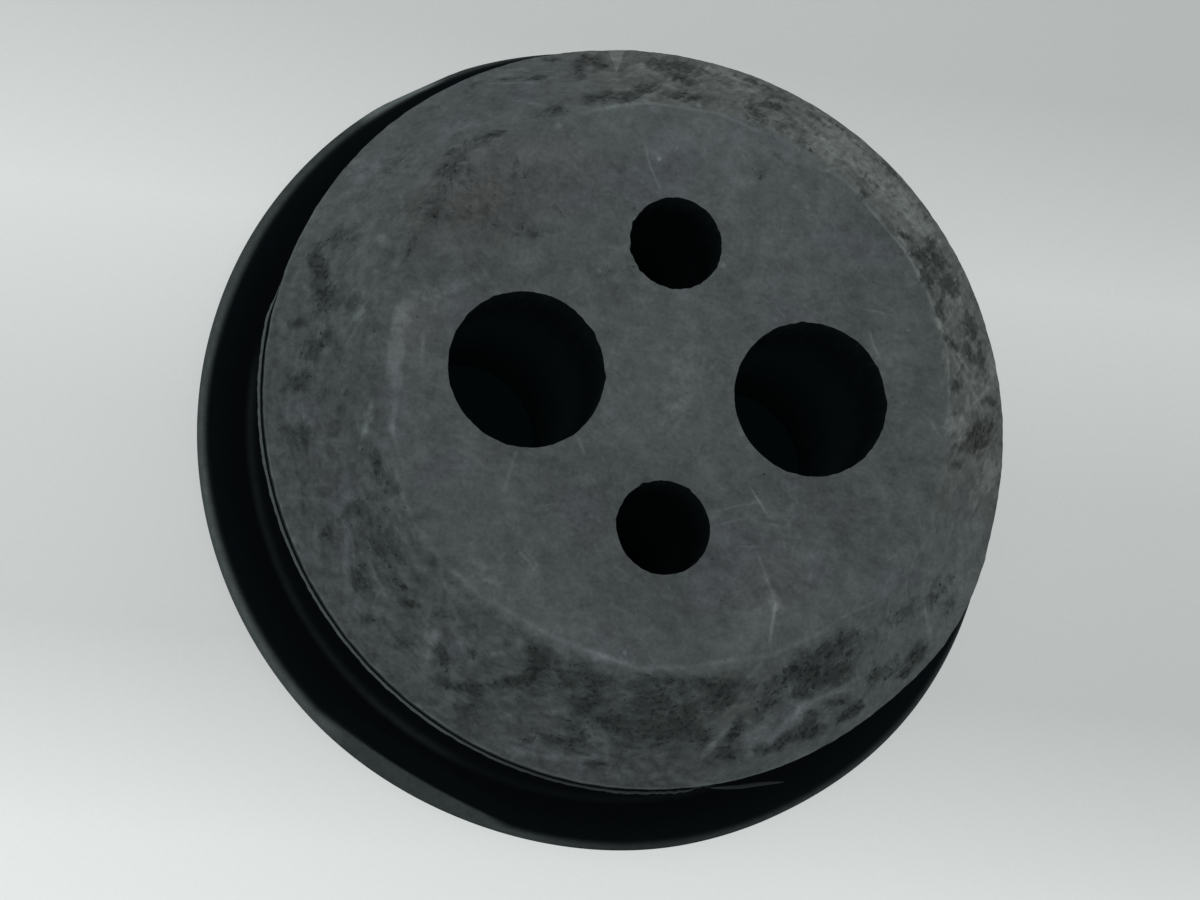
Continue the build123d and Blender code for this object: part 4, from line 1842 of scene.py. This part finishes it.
        # The lip's grey: painted paler round bearing -158 as a painted highlight, and less pale
        # where it stands out at x above 3 mm.
        fields["wear"] = 0.22 + 0.55 * sector(bearing(x, y), -158.0, 60.0, 28.0) - 0.17 * loose
        for name, values in fields.items():
            attribute = mesh.attributes.new(name, "FLOAT", "POINT")
            attribute.data.foreach_set("value", values.astype(np.float32))

    def _painted_sheen(self, points: np.ndarray) -> np.ndarray:
        """Gives the painted reflection on the flange's round edge and the painted highlights at the
        neck's foot and on the land.

        Args:
            points: the moulding's points.

        Returns:
            The share of grey at each point.
        """
        x, y, z = points.T
        reach = np.hypot(x, y)
        angle = bearing(x, y)
        rim_centre = self.sizes.rim_centre
        # The flange's round edge is painted grey near its outline as a painted reflection; the pared
        # facet is painted grey too, and a pale block at bearing 124.5 is a painted highlight.
        out = np.maximum(reach - rim_centre, 1e-6)
        rise = np.degrees(np.arctan2(z - self.sizes.rim_top, out))
        pared = sector(angle, -116.0, 15.0, 10.0)
        pale = np.interp(turn_gap(angle, -165.0), *zip(*self.rim_reflection_greys))
        pale = pale + 0.75 * sector(angle, 124.5, 8.0, 4.0)
        wide = sector(angle, 142.0, 45.0, 15.0)
        band = smooth_step(42.0 + 12.0 * wide, 17.0 + 18.0 * wide, rise)
        rim = band * (1.0 - pared) * pale + smooth_step(40.0, 33.0, rise) * pared * 0.38
        rim = rim * (reach > rim_centre) * smooth_step(-75.0, -30.0, rise)
        # A faint painted highlight at the neck's foot, on the near side.
        foot = np.exp(-(((reach - self.foot_line) / self.foot_half) ** 2)) * (z < self.foot_top)
        foot = foot * (sector(angle, -150.0, 42.0, 30.0)
                       + 0.4 * sector(angle, -100.0, 36.0, 24.0))
        # The land under the plug's edge is painted grey on the near side as painted light.
        land = smooth_step(6.0, 6.2, z) * (reach > self.sizes.neck_radius + 0.8)
        land = land * sector(angle, -150.0, 72.0, 50.0)
        return np.clip(rim + foot * 0.14 + land * 0.4, 0.0, 1.5)

    @staticmethod
    def place(piece: bpy.types.Object) -> None:
        """Ties the moulding to the frame.

        Args:
            piece: the finished moulding.
        """
        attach(piece, Body.ROOT.value)
        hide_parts("grommet")


# The stage

@dataclass
class Studio:
    """The pale paper, the soft light and the camera."""

    paper_half: float = 0.45
    paper_glow: float = 0.85
    band_half: float = 20.0
    paper_light_bands: tuple = ((0.0, 0.89), (0.15, 0.87), (0.32, 0.76), (0.5, 0.775), (0.68, 0.825),
                          (0.86, 0.74), (1.0, 0.74))
    # For red, green and blue: the paper's tint, and the colour left in the painted shade under the
    # part
    paper_colour: tuple = ((0.985, 0.0009), (1.02, 0.0022), (1.01, 0.0025))
    painted_shade_within: float = 12.2
    painted_shade_end: float = 12.6
    sky_colour: tuple = (0.95, 1.0, 1.0, 1.0)
    sky_strength: float = 0.75
    # Each lamp's name, place and side in metres, and power in watts
    lamps: tuple = (
        ("lamp_far_right", (0.22, 0.26, 0.34), 0.30, 0.45),
        ("lamp_above", (-0.05, 0.05, 0.50), 0.40, 0.40),
    )
    camera_place: tuple = (-31.730, -33.254, 136.972)
    camera_turn: tuple = (12.6992, -13.7396, 2.7618)
    lens: float = 129.34

    def build(self) -> None:
        """Builds the stage round the grommet."""
        self._paper()
        self._light()
        self._camera()

    def _paper(self) -> None:
        """Lays the paper and gives it broad soft bands of painted light and shade, a painted shade
        under the part and fine grain.
        """
        mesh = bpy.data.meshes.new("paper")
        half = self.paper_half
        mesh.from_pydata([(-half, -half, 0), (half, -half, 0), (half, half, 0), (-half, half, 0)],
                         [], [(0, 1, 2, 3)])
        paper = new_object("paper", mesh)
        material, book, place = new_material("paper")
        x, y, _ = book.split(place)
        # The paper's broad bands and its darker right side are painted light and shade.
        right = book.sum("MINIMUM", book.sum("MAXIMUM", x / self.band_half, -1.0), 1.0)
        bands = book.wire("ShaderNodeValToRGB", {"stops": self.paper_light_bands},
                          {0: (y + self.band_half) / (2 * self.band_half)})
        grain = book.noise(place, 6.0, 5.0, 0.7)
        level = bands - right * 0.033 + (grain - 0.5) * 0.03
        # Under the part the paper is painted nearly black, a painted shade that is seen only through
        # the bores.
        reach = book.sum("SQRT", x * x + y * y)
        light = (level ** TONE_TO_LIGHT) * book.step(reach, self.painted_shade_within, self.painted_shade_end)
        grey = book.xyz(*(light * tint + left for tint, left in self.paper_colour))
        seen = book.node("ShaderNodeLightPath")
        camera, glossy, through = (Wire(book, seen.outputs[f"Is {kind} Ray"])
                                   for kind in ("Camera", "Glossy", "Transmission"))
        share = book.sum("MAXIMUM", book.sum("MAXIMUM", camera, glossy), through)
        glow = book.wire("ShaderNodeEmission", {}, {"Color": grey, "Strength": 1.0})
        matt = book.wire("ShaderNodeBsdfDiffuse", {}, {"Color": grey})
        book.surface(book.wire("ShaderNodeMixShader", {}, {0: share * self.paper_glow, 1: matt,
                                                           2: glow}))
        mesh.materials.append(material)

    def _light(self) -> None:
        """Hangs two soft lamps under an even pale sky."""
        world = bpy.data.worlds.new("pale_sky")
        world.use_nodes = True
        bpy.context.scene.world = world
        background = world.node_tree.nodes["Background"]
        background.inputs["Color"].default_value = self.sky_colour
        background.inputs["Strength"].default_value = self.sky_strength
        for name, place, side, power in self.lamps:
            lamp = bpy.data.lights.new(name, "AREA")
            lamp.size = side
            lamp.energy = power
            holder = new_object(name, lamp)
            holder.location = place
            holder.rotation_mode = "QUATERNION"
            holder.rotation_quaternion = Vector(place).to_track_quat("Z", "Y")

    def _camera(self) -> None:
        """Sets the camera at the photograph's angle."""
        data = bpy.data.cameras.new("camera")
        data.lens = self.lens
        data.sensor_width = 36.0
        data.clip_start = 0.01
        data.clip_end = 5.0
        camera = new_object("camera", data)
        camera.location = Vector(self.camera_place) * MM
        camera.rotation_euler = [math.radians(a) for a in self.camera_turn]
        bpy.context.scene.camera = camera


def main() -> None:
    """Builds the grommet and its stage."""
    logging.basicConfig(level=logging.INFO, format="%(name)s: %(message)s")
    bpy.context.scene.view_settings.view_transform = "Standard"
    sizes = GrommetSizes.from_frame()
    moulding = Moulding(sizes)
    piece = moulding.build()
    moulding.place(piece)
    log.info("%s: %d triangles", piece.name, len(piece.data.loops) - 2 * len(piece.data.polygons))
    Studio().build()


if __name__ == "__main__":
    main()
